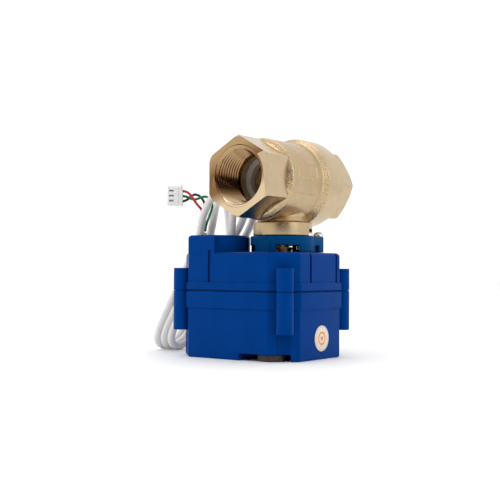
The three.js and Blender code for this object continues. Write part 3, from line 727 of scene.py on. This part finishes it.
def smooth_route(points, steps=8):
    """Centripetal Catmull-Rom curve through the points, as the CAD tubes follow."""
    route = [Vector(p) for p in points]
    route = [2 * route[0] - route[1], *route, 2 * route[-1] - route[-2]]
    out = []
    for p0, p1, p2, p3 in zip(route, route[1:], route[2:], route[3:]):
        d0, d1, d2 = ((b - a).length ** 0.5 for a, b in ((p0, p1), (p1, p2), (p2, p3)))
        start = ((p1 - p0) / d0 - (p2 - p0) / (d0 + d1) + (p2 - p1) / d1) * d1
        stop = ((p2 - p1) / d1 - (p3 - p1) / (d1 + d2) + (p3 - p2) / d2) * d1
        for k in range(steps):
            t = k / steps
            a = 2 * t**3 - 3 * t**2 + 1
            b = t**3 - 2 * t**2 + t
            c = 3 * t**2 - 2 * t**3
            d = t**3 - t**2
            out.append(a * p1 + b * start + c * p2 + d * stop)
    return [*out, route[-2]]


def cord(name, route, diameter, material):
    """A round cord along the route, as one open spline."""
    data = bpy.data.curves.new(name, "CURVE")
    data.dimensions = "3D"
    data.bevel_depth = diameter / 2 * MM
    data.bevel_resolution = 6
    data.use_fill_caps = True
    points = smooth_route(route)
    spline = data.splines.new("POLY")
    spline.points.add(len(points) - 1)
    for place, point in zip(spline.points, points):
        place.co = (*(point * MM), 1)
    spline.use_smooth = True
    data.materials.append(material)
    length = sum((b - a).length for a, b in zip(points, points[1:]))
    return add_object(name, data), length * MM


def make_cords(connector_pieces):
    """The jacketed cable and its three wires; each cord's length is measured but not used."""
    cable, length = cord("cable_jacket_run", CABLE_ROUTE, CABLE_D, JACKET)
    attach(cable, "actuator")
    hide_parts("cable")
    for colour, route, material, slot in (
        ("red", RED_ROUTE, RED, "red_insulation"),
        ("green", GREEN_ROUTE, GREEN, "green_insulation"),
        ("black", DARK_ROUTE, DARK, "dark_insulation"),
    ):
        wire, wire_length = cord(f"{colour}_wire_run", route, WIRE_D, material)
        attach(wire, "actuator")
        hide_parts(f"wire_{colour}")


# ---- connector ----

CONNECTOR_PLACE = (-45.7, -10.9, 77.7)
CONNECTOR_TURN = math.radians(36.5)
CONNECTOR_SIZE = (7.6, 5.8, 9.8)
PIN_PITCH = 2.5


def make_connector():
    """White crimp housing: three chambers, side windows that show the contacts, and a ribbed wire end."""
    half = CONNECTOR_SIZE[0] / 2
    depth = CONNECTOR_SIZE[1] / 2
    height = CONNECTOR_SIZE[2] / 2
    rows = (PIN_PITCH, 0, -PIN_PITCH)
    shell_outline = rounded(rectangle((-half, half), (-depth, depth)), 0.3)
    body = chamfered(shell_outline, (-height, height), 0.25, 0.25)
    rail_outline = rounded(rectangle((half - 1.3, half), (-depth - 0.5, -depth + 1)), 0.3)
    rails = [
        moulded(rail_outline, z, 0.15, 0.15, 2)
        for z in ((-height - 0.4, -height + 1), (height - 1, height + 0.4))
    ]
    body = union(body, *rails)
    chambers = [block((-half - 1, half + 1), (-0.9, 0.9), (z - 0.9, z + 0.9)) for z in rows]
    windows = [block((-half + 0.9, -half + 3.2), (-depth - 1, -1.5), (z - 0.45, z + 0.45)) for z in rows]
    notches = [block((-half - 1, -half + 0.5), (-depth - 1, -1.5), (z - 0.8, z - 0.3)) for z in rows]
    ribs = [block((half - 2.2, half - 1.9), (-depth - 1, -depth + 0.25), (-height + 1.2, height - 1.2))]
    body = cut(body, *chambers, *windows, *notches, *ribs)
    place = Matrix.Translation(CONNECTOR_PLACE) @ Matrix.Rotation(CONNECTOR_TURN, 4, "Z")
    body.transform(place)
    pieces = [finish_piece("connector_shell", body, [WHITE], "connector_housing")]
    blade_outline = rounded(rectangle((-2.8, -0.2), (-0.55, 0.55)), 0.2)
    for i, z in enumerate(rows):
        blade = moulded(blade_outline, (z - 0.5, z + 0.5), 0.12, 0.12, 2)
        tongue = block((-2.4, -1.0), (-2.4, -0.4), (z - 0.2, z + 0.2))
        contact = union(blade, tongue)
        contact.transform(place)
        node = f"connector_contact_{i + 1}"
        name = f"contact_{i + 1}"
        pieces.append(finish_piece(name, contact, [TINNED], node))
    return pieces


# ---- actuator box ----


def box_outline(grow=0.0, edge=BOX_EDGE_R):
    """The box's octagon, grown outward, with rounded upright edges."""
    x, y = BOX_HALF_X + grow, BOX_HALF_Y + grow
    leg = BOX_CHAMFER + grow * (2 - math.sqrt(2))
    corners = [
        (-x + leg, -y), (x - leg, -y), (x, -y + leg), (x, y - leg),
        (x - leg, y), (-x + leg, y), (-x, y - leg), (-x, -y + leg),
    ]
    return rounded(corners, edge)


def moulded_box(z, top=0.0, bottom=0.0):
    """The box's octagon with rounded edges: its upright edges sharpen as the outline moves inward."""
    return loft([
        [(x, y, height) for x, y in box_outline(-inward, max(0.1, BOX_EDGE_R - inward))]
        for inward, height in edge_steps(z, top, bottom, 6)
    ])


def make_lower_cover():
    """Lower shell: rounded foot, proud band, four posts with channels below, and the knob's recess."""
    shell = moulded_box((0, SEAM_LOW), 0, 1.0)
    band = chamfered(box_outline(BAND_PROUD), (BAND_LOW, SEAM_LOW), 0.2, 0.45)
    posts = [moulded(circle(p, POST_R), (POST_LOW, SEAM_LOW), 0.15, 0.3) for p in POSTS]
    lips = rods(POST_R - 0.4, (SEAM_LOW - 1, SEAM_HIGH - 0.03), POSTS)
    shell = union(shell, band, *posts, *lips)
    cavity = moulded(box_outline(-WALL), (FLOOR, SEAM_LOW + 1), 0, 0.5)
    cavity = cut(
        cavity,
        block((RECESS_X[0] - WALL, BOX_HALF_X), (-BOX_HALF_Y - 1, RECESS_BACK + WALL), (0, RECESS_ROOF)),
        *rods(POST_R, (POST_LOW - 2, SEAM_LOW + 2), POSTS),
    )
    channels = rods(CHANNEL_R, (-1, POST_LOW), POSTS)
    screw_holes = rods(2.9, (POST_LOW - 1, 16.3), POSTS)
    shank_holes = rods(HOUSING_HOLE_R, (16, SEAM_LOW + 1), POSTS, 24)
    recess = block(RECESS_X, (-BOX_HALF_Y - 1, RECESS_BACK), (-1, RECESS_DEPTH))
    bush = rod(OVERRIDE_BORE_R, (RECESS_DEPTH - 1, RECESS_ROOF + 1), OVERRIDE_AXIS)
    shell = cut(shell, cavity, *channels, *screw_holes, *shank_holes, recess, bush)
    finish_piece("lower_cover_shell", shell, [BLUE], "lower_cover", 28)


def boss_outline():
    """The motor tower: a circle with a flat-fronted block on its near side."""
    front = -BOX_HALF_Y + 0.1
    left, right = (x - BOSS[0] for x in BOSS_BLOCK)
    start = -math.degrees(math.acos(right / BOSS_R))
    stop = 360 - math.degrees(math.acos(left / BOSS_R))
    round_part = arc(BOSS, BOSS_R, start, stop, 72)
    return [(BOSS_BLOCK[0], front), (BOSS_BLOCK[1], front), *round_part]


def make_upper_housing():
    """Lid: rounded top edge, proud band, posts, motor tower, and moulded grooves down its sides."""
    shell = moulded_box((SEAM_HIGH, BOX_TOP), TOP_FILLET)
    band = chamfered(box_outline(BAND_PROUD), (SEAM_HIGH, BAND_HIGH), 0.45, 0.5)
    posts = [moulded(circle(p, POST_R), (SEAM_HIGH, POST_HIGH), 0.3, 0.15) for p in POSTS]
    tower = moulded(boss_outline(), (BOX_TOP - 1, BOSS_TOP), 1.5, 0, 6)
    shell = union(shell, band, tower, *posts)
    cavity = cut(
        moulded(box_outline(-WALL), (SEAM_HIGH - 1, BOX_TOP - WALL), 0.5, 0),
        *rods(2.4, (42.5, BOX_TOP), YOKE_SCREWS, 24),
        *rods(POST_R, (SEAM_HIGH - 2, POST_HIGH + 1), POSTS),
    )
    groove_z = (BAND_HIGH, BOX_TOP + 1)
    front_x = (FRONT_GROOVE_X - GROOVE / 2, FRONT_GROOVE_X + GROOVE / 2)
    grooves = [block(front_x, (-BOX_HALF_Y - 1, -BOX_HALF_Y + GROOVE_DEPTH), groove_z)]
    for y in SIDE_GROOVES_Y:
        side_x = (BOX_HALF_X - GROOVE_DEPTH, BOX_HALF_X + 1)
        grooves.append(block(side_x, (y - GROOVE / 2, y + GROOVE / 2), groove_z))
    holes = [
        rod(BOSS_R - WALL, (BOX_TOP - 4, BOSS_TOP - WALL), BOSS),
        rod(5.2, (BOX_TOP - 4, BOX_TOP + 1), (STEM_X, 0)),
        rod(3.4, (BOSS_TOP - 3, BOSS_TOP + 1), CABLE_EXIT),
        *rods(HOUSING_HOLE_R, (SEAM_HIGH - 1, 39.5), POSTS, 24),
        *rods(SCREW_HOLE_R, (43.5, BOX_TOP + 1), YOKE_SCREWS, 24),
    ]
    shell = cut(shell, cavity, *grooves, *holes)
    finish_piece("lid_shell", shell, [BLUE], "upper_housing", 28)


def make_knob():
    """Manual override knob: knurled rim and a coin slot."""
    x, y = OVERRIDE_AXIS
    points, rim_r, tooth = 4 * 36, 6.38, 0.14
    rim = []
    for k in range(points):
        t = FULL_TURN * k / points
        r = rim_r - tooth * (k % 4 in (0, 1))
        rim.append((x + r * math.cos(t), y + r * math.sin(t)))
    knob = moulded(rim, (KNOB_LOW[2], KNOB_HIGH[2]), 0.12, 0.12, 3)
    slot = block((x - 4.6, x + 4.6), (y - 0.8, y + 0.8), (-1, 1.1))
    knob = cut(knob, rod(OVERRIDE_BORE_R, (1.5, 4), OVERRIDE_AXIS), slot)
    finish_piece("knurled_knob", knob, [BROWN], "override_knob", 25, "override_turn")


def make_sticker():
    """Round paper sticker with a slightly rolled rim."""
    centre = ((STICKER_LOW[1] + STICKER_HIGH[1]) / 2, (STICKER_LOW[2] + STICKER_HIGH[2]) / 2)
    rings = []
    for x, less in ((0, 0.05), (0.08, 0), (0.17, 0.03), (0.2, 0.2)):
        rings.append([(STICKER_LOW[0] + x, *p) for p in circle(centre, STICKER_R - less, 72)])
    disc = loft(rings)
    finish_piece("round_sticker", disc, [STICKER], "inspection_sticker")


# ---- fasteners ----


def cross_bars(centre, arm, half_width, z):
    """Cutters for a cross recess."""
    x, y = centre
    return [
        block((x - arm, x + arm), (y - half_width, y + half_width), z),
        block((x - half_width, x + half_width), (y - arm, y + arm), z),
    ]


def pan_head(centre, seat, head_r, head_h, shank_r, length):
    """Domed head with a cross recess, shank downward."""
    dome = []
    for degrees in range(0, 90, 10):
        t = math.radians(degrees)
        dome.append((head_r * math.cos(t), seat + head_h * (0.25 + 0.75 * math.sin(t))))
    profile = [
        (0, seat - length), (shank_r * 0.6, seat - length), (shank_r, seat - length + 0.6), (shank_r, seat),
        (head_r * 0.95, seat), (head_r, seat + 0.12), *dome, (0, seat + head_h),
    ]
    screw = turned(profile, lambda a, b, z: (centre[0] + a, centre[1] + b, z), 48)
    depth = (seat + head_h * 0.45, seat + head_h + 1)
    return cut(screw, *cross_bars(centre, head_r * 0.52, 0.3, depth))


def make_yoke_screws():
    for i, centre in enumerate(YOKE_SCREWS):
        screw = pan_head(centre, YOKE_HIGH[2] + 0.1, SCREW_HEAD_R, SCREW_HEAD_H, 1.2, 10.5)
        node = f"yoke_screw_{i + 1}"
        finish_piece(f"yoke_pan_screw_{i + 1}", screw, [SCREW_METAL], node)


def make_housing_screws():
    """Cap screws that come up through the posts; their heads look down."""
    for i, centre in enumerate(POSTS):
        head = moulded(circle(centre, 2.6), (14.0, 16.0), 0.1, 0.35)
        screw = union(head, rod(HOUSING_SHANK_R, (15.9, 38.5), centre, 24))
        screw = cut(screw, *cross_bars(centre, 1.5, 0.35, (13, 15.1)))
        node = f"housing_screw_{i + 1}"
        finish_piece(f"post_screw_{i + 1}", screw, [DULL_STEEL], node)


# ---- yoke ----


def make_yoke():
    """Spacer ring with a squared back, windows all round, and a raised pad at the front."""
    z = (YOKE_LOW[2], YOKE_HIGH[2])
    centre = (STEM_X, 0)
    ring = moulded(circle(centre, YOKE_R, 96), z, YOKE_FILLET, 0.2)
    back_outline = rounded(rectangle((STEM_X - YOKE_HALF_X, STEM_X + YOKE_HALF_X), (0, YOKE_BACK)), 0.8)
    back = moulded(back_outline, z, YOKE_FILLET, 0.2)
    pad_arc = arc(centre, YOKE_R + 0.35, -101, -79, 8) + arc(centre, YOKE_R - 2, -79, -101, 8)
    pad = moulded(pad_arc, (z[0], 54.8), 0.25, 0)
    body = union(ring, back, pad)
    hollow_z = (z[0] - 1, WINDOW_TOP)
    screw_pillars = rods(2.7, hollow_z, YOKE_SCREWS, 32)
    hollow = cut(rod(YOKE_HOLLOW_R, hollow_z, centre, 72), *screw_pillars)
    windows = []
    for degrees in (-45, -135):
        window = block((10.5, 18.5), (-5.8, 5.8), hollow_z)
        turn = Matrix.Rotation(math.radians(degrees), 4, "Z")
        window.transform(Matrix.Translation((STEM_X, 0, 0)) @ turn)
        windows.append(window)
    notches = []
    for side in (1, -1):
        x = STEM_X + side * 14.2
        notches.append(block((x - 1.4, x + 1.4), (5.7, 9.4), hollow_z))
    rear = [block(x, (10, YOKE_BACK + 1), hollow_z) for x in ((2.5, 10.4), (13.6, 21.5))]
    holes = [
        rod(4.0, (50, z[1] + 1), centre),
        *rods(SCREW_HOLE_R, (48, z[1] + 1), YOKE_SCREWS, 24),
        *rods(1.7, (50, z[1] + 1), VALVE_SCREWS, 24),
    ]
    body = cut(body, hollow, *windows, *notches, *rear, *holes)
    finish_piece("yoke_ring", body, [TEAL], "yoke_bracket", 28)


# ---- valve ----


def hexagon_bar(near, far, turn, corner):
    """Hexagonal bar along the flow axis, with its corners rounded by the given radius."""
    corner_r = HEX_AF / 2 / math.cos(math.pi / 6)
    directions = [math.radians(turn + 60 * k) for k in range(6)]
    corners = [(corner_r * math.cos(t), corner_r * math.sin(t)) for t in directions]
    outline = rounded(corners, corner, 6)
    return loft([[about_flow(a, b, y) for a, b in outline] for y in (near, far)])


def thread_height(along, turn_share):
    """How far the wall stands in from the root, from 0 to 1; a turn share of 1 is a full turn."""
    phase = (along / THREAD_PITCH - turn_share) % 1.0
    return min(1.0, 3.0 * (0.5 - abs(phase - 0.5)) / 1.2)


def thread_sleeve(mouth, inward):
    """Internal thread: a ring whose inner wall follows the helix, running inward from the mouth."""
    around, per_turn = 120, 10
    start, back_r = 0.3, MOUTH_R + 0.3
    rows = int(THREAD_LENGTH / THREAD_PITCH * per_turn)
    rings = []
    for i in range(around):
        t = FULL_TURN * i / around
        profile = [(back_r, start)]
        for k in range(rows + 1):
            along = start + THREAD_LENGTH * k / rows
            height = (THREAD_MAJOR_R - THREAD_MINOR_R) * thread_height(along, inward * t / FULL_TURN)
            lead_in = max(0.0, 1.3 - along) * 0.9
            profile.append((min(MOUTH_R - 0.02, THREAD_MAJOR_R - height + lead_in), along))
        profile.append((back_r, start + THREAD_LENGTH))
        rings.append([about_flow(r * math.cos(t), r * math.sin(t), mouth + inward * y) for r, y in profile])
    return loft(rings, closed=True)


def nose(turn, face, inner, sign, corner, chamfer):
    """Port hexagon with its corners chamfered by a cone at the outer face."""
    cone = [
        (0, face), (HEX_CONE_R - chamfer * 1.2, face), (HEX_CONE_R, face + sign * chamfer),
        (HEX_CONE_R, inner), (0, inner),
    ]
    bar = hexagon_bar(min(face, inner), max(face, inner), turn, corner)
    return common(bar, turned(cone, about_flow, 144))


def port_bore(face, sign, deepest):
    """Cutter for a port: mouth chamfer, thread relief, shoulder and the way through to the ball."""
    relief = MOUTH_R - 0.1
    return [
        (0, face - sign), (MOUTH_R + 1.0, face - sign), (MOUTH_R + 0.05, face + sign * 0.15),
        (relief, face + sign * 0.4), (relief, face + sign * (THREAD_LENGTH + 0.2)),
        (STEP_R, face + sign * (THREAD_LENGTH + 0.25)), (STEP_R, deepest), (0, deepest),
    ]


def make_valve_body():
    """Inlet half: hexagon, granular cast shoulder, barrel, retaining ring and neck."""
    hexa = nose(30, -PORT_END, -19.5, 1, 0.7, 1.0)
    sides = [
        (0, -20.6), (15.6, -20.6), (17.0, -20.2), (BARREL_R, -18.6), (BARREL_R, 5.4), (RING_R, 8.0),
        (RING_R, 18.3), (0, 18.3),
    ]
    radii = [0, 0, 1.0, 1.6, 2.4, 1.6, 0.35, 0]
    barrel = turned(rounded(sides, radii, 6, closed=False), about_flow, 144)
    foot_r, collar_r = 13.95, 11.4
    neck_profile = [
        (0, 57.1), (foot_r, 57.1), (foot_r, 63.0), (12.4, 63.6), (collar_r, 66), (collar_r, 72), (0, 72),
    ]
    neck_radii = [0, 0.3, 0.35, 0.9, 0.8, 0, 0]
    neck = turned(rounded(neck_profile, neck_radii, 4, closed=False), about_stem)
    body = union(barrel, hexa, neck)
    inlet = turned(port_bore(-PORT_END, 1, -14.4), about_flow)
    chamber_profile = [
        (0, -14.5), (SEAT_POCKET_R, -14.5), (SEAT_POCKET_R, -9.6), (CHAMBER_R, -9.6), (CHAMBER_R, 9.4),
        (CAP_POCKET_R, 9.4), (CAP_POCKET_R, 19), (0, 19),
    ]
    chamber = turned(chamber_profile, about_flow)
    gland = rod(3.9, (56, 70), (STEM_X, 0))
    thrust = rod(5.9, (66.6, 72), (STEM_X, 0))
    fixings = rods(1.6, (56, 62), VALVE_SCREWS, 24)
    clearance = rods(3.0, (56, 60.2), YOKE_SCREWS, 32)
    body = cut(body, inlet, chamber, gland, thrust, *fixings, *clearance)
    body = joined(body, thread_sleeve(-PORT_END, 1), *label_frame())
    finishes = [SATIN, TURNED, CAST, THREAD]
    piece = finish_piece("valve_casting", body, finishes, "valve_body", 30)
    paint(piece, 1, lambda c: c.y < -20.4 or 7.9 < c.y < 18.5 and radial(c) > 20.5)
    paint(piece, 2, rough_zone)
    paint(piece, 3, lambda c: radial(c) < MOUTH_R + 0.35 and c.y < -17)


def radial(centre):
    """Distance from the flow axis."""
    return math.hypot(centre.x - STEM_X, centre.z - VALVE_Z)


def rough_zone(centre):
    """As-cast surfaces: the shoulder behind the hexagon, the step up to the ring, and the neck's foot."""
    distance = radial(centre)
    shoulder = -20.7 < centre.y < -17.9 and distance > 15.0
    step = 5.2 < centre.y < 8.1 and distance > 18.3
    neck = centre.z < 58.6 and math.hypot(centre.x - STEM_X, centre.y) > 10
    return shoulder or step or neck


def on_barrel(angle, along, lift):
    """A point on the barrel's side, by its angle above +X and its place along the flow."""
    r = BARREL_R + lift
    return about_flow(r * math.cos(angle), r * math.sin(angle), along)


def label_frame():
    """A raised rectangular frame on the barrel's right side, with three plain round studs in it."""
    half_height = 6.7
    reach = math.asin(half_height / BARREL_R) * BARREL_R
    path = []
    outline = rounded(rectangle((-14.0, 0.9), (-reach, reach)), 1.2, 5)
    for (y0, s0), (y1, s1) in zip(outline, outline[1:] + outline[:1]):
        pieces = max(1, int(math.hypot(y1 - y0, s1 - s0) / 0.8))
        path += [(y0 + (y1 - y0) * k / pieces, s0 + (s1 - s0) * k / pieces) for k in range(pieces)]
    half = 0.28
    rings = []
    inner = inset(path, half)
    outer = inset(path, -half)
    for (y, s), (yi, si), (yo, so) in zip(path, inner, outer):
        section = [(so, yo, -0.4), (so, yo, 0.0), (s, y, 0.22), (si, yi, 0.0), (si, yi, -0.4)]
        rings.append([on_barrel(aside / BARREL_R, place, lift) for aside, place, lift in section])
    return [loft(rings, closed=True), *[stud(y) for y in (-10.2, -6.55, -2.9)]]


def stud(y):
    """A low round stud on the barrel's side."""
    rings = []
    for r, lift in ((1.3, -0.5), (1.3, 0.05), (1.05, 0.25), (0.5, 0.33)):
        rings.append([on_barrel(s / BARREL_R, y + a, lift) for a, s in circle((0, 0), r, 24)])
    return loft(rings)


def make_end_cap():
    """Outlet half: hexagon turned by 30 degrees, flange and spigot that screws into the body."""
    hexa = nose(0, PORT_END, 22.4, -1, 2.2, 2.0)
    spigot_r, flange_r = 16.4, 20.7
    sides = [
        (0, 9.7), (spigot_r, 9.7), (spigot_r, 18.6), (flange_r, 18.6), (flange_r, 20.6), (18.6, 22.9),
        (0, 22.9),
    ]
    flange = turned(rounded(sides, [0, 0, 0, 0.3, 1.0, 0.8, 0], 5, closed=False), about_flow, 144)
    body = union(hexa, flange)
    outlet = turned(port_bore(PORT_END, -1, 14.4), about_flow)
    throat = turned([(0, 9), (SEAT_POCKET_R, 9), (SEAT_POCKET_R, 14.5), (0, 14.5)], about_flow)
    body = cut(body, outlet, throat)
    body = joined(body, thread_sleeve(PORT_END, -1))
    piece = finish_piece("outlet_cap", body, [TURNED, THREAD], "end_cap", 30)
    paint(piece, 1, lambda c: radial(c) < MOUTH_R + 0.35 and c.y > 17)


def make_ball():
    """Polished ball with its waterway, and the slot for the stem's tongue."""
    edge = math.degrees(math.asin(WATERWAY_R / BALL_R))
    mesh = turned(arc((0, 0), BALL_R, 90 - edge, -90 + edge, 40), about_flow)
    slot = block((STEM_X - 15, STEM_X + 15), (-2.3, 2.3), (68, 73.2))
    mesh = cut(mesh, slot)
    finish_piece("polished_ball", mesh, [BALL_METAL], "ball", body="output_turn")


def make_seats():
    """Sealing rings that cup the ball."""
    inner, outer = SEAT_R
    hollow_r = BALL_R + SEAT_CLEARANCE
    for side, node in ((-1, "seat_ring_inlet"), (1, "seat_ring_outlet")):
        cup = [(r, side * math.sqrt(hollow_r**2 - r**2)) for r in (9.5, 9.2, 8.9, inner)]
        profile = [(inner, side * SEAT_BACK), (outer, side * SEAT_BACK), (outer, cup[0][1]), *cup]
        ring = turned(profile, about_flow)
        finish_piece(f"{node}_lip", ring, [TEFLON], node)


# ---- the CAD nodes that stay ----

KEPT_FINISHES = {
    "lid_gasket": RUBBER,
    "cable_grommet": RUBBER,
    "gear_plate": ZINC,
    "motor": ZINC,
    "motor_shaft": SCREW_METAL,
    "motor_pinion": TURNED,
    "gear_a": ACETAL,
    "gear_b": ACETAL,
    "output_gear": ACETAL,
    "output_shaft": COPPER,
    "limit_cam": BLACK,
    "override_shaft": ZINC,
    "circuit_board": BOARD,
    "limit_switch_open": BLACK,
    "limit_switch_closed": BLACK,
    "stem": TURNED,
    "stem_o_ring_lower": RUBBER,
    "stem_o_ring_upper": RUBBER,
    "stem_washer": TEFLON,
}
for kind in ("plate", "board", "valve"):
    for number in (1, 2):
        KEPT_FINISHES[f"{kind}_screw_{number}"] = ZINC
for letter in "ab":
    KEPT_FINISHES[f"gear_axle_{letter}"] = SCREW_METAL


def dress_kept_nodes():
    for name, material in KEPT_FINISHES.items():
        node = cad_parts[name]
        node.data.materials.clear()
        node.data.materials.append(material)


# ---- studio ----

OPENING = (0.59, -0.80, 0.09)  # direction of the dark opening from the object
OPENING_CORE = 0.92  # cosine of the angle inside which it is fully dark
OPENING_RIM = 0.78  # cosine of the angle at which it has faded to white


def make_floor():
    """Pale floor."""
    finish = Finish("floor", (0.94, 0.94, 0.94), 0.6, specular=0.2)
    finish.mottle(60.0, (0.93, 0.93, 0.93), (0.95, 0.95, 0.95))
    mesh = mesh_of([(-4, -4, 0), (4, -4, 0), (4, 4, 0), (-4, 4, 0)], [(0, 1, 2, 3)])
    floor = new_piece("floor", mesh, [finish.material])


def area_light(name, place, target, size, power):
    data = bpy.data.lights.new(name, "AREA")
    data.shape = "RECTANGLE"
    data.size, data.size_y = size
    data.energy = power
    light = add_object(name, data)
    light.location = place
    light.rotation_euler = (Vector(target) - Vector(place)).to_track_quat("-Z", "Y").to_euler()


def make_world():
    """A white tent with one dark opening in front, which gives the metal something dark to reflect."""
    world = bpy.data.worlds.new("studio")
    world.use_nodes = True
    tree = world.node_tree
    direction = tree.nodes.new("ShaderNodeTexCoord").outputs["Generated"]
    towards = tree.nodes.new("ShaderNodeVectorMath")
    towards.operation = "DOT_PRODUCT"
    towards.inputs[1].default_value = OPENING
    shade = tree.nodes.new("ShaderNodeMapRange")
    span = {"From Min": OPENING_RIM, "From Max": OPENING_CORE, "To Min": 1.0, "To Max": 0.04}
    set_sockets(shade, span)
    tree.links.new(direction, towards.inputs[0])
    tree.links.new(towards.outputs["Value"], shade.inputs["Value"])
    tree.links.new(shade.outputs[0], tree.nodes["Background"].inputs["Color"])
    tree.nodes["Background"].inputs["Strength"].default_value = 1.1
    bpy.context.scene.world = world


def make_lights():
    """A large key on the left, a fill on the right and a strip above, shown in plain colours."""
    target = (0, 0, 0.06)
    area_light("key", (-0.25, -0.75, 0.6), target, (0.5, 0.5), 1.4)
    area_light("fill", (0.8, -0.2, 0.35), target, (0.5, 0.4), 0.7)
    area_light("top", (0.0, 0.1, 0.8), target, (0.6, 0.3), 0.8)
    bpy.context.scene.view_settings.view_transform = "Standard"


# ---- the object ----

make_camera()
make_cords(make_connector())
make_lower_cover()
make_upper_housing()
make_knob()
make_sticker()
make_yoke()
make_yoke_screws()
make_housing_screws()
make_valve_body()
make_end_cap()
make_ball()
make_seats()
dress_kept_nodes()
make_floor()
make_world()
make_lights()
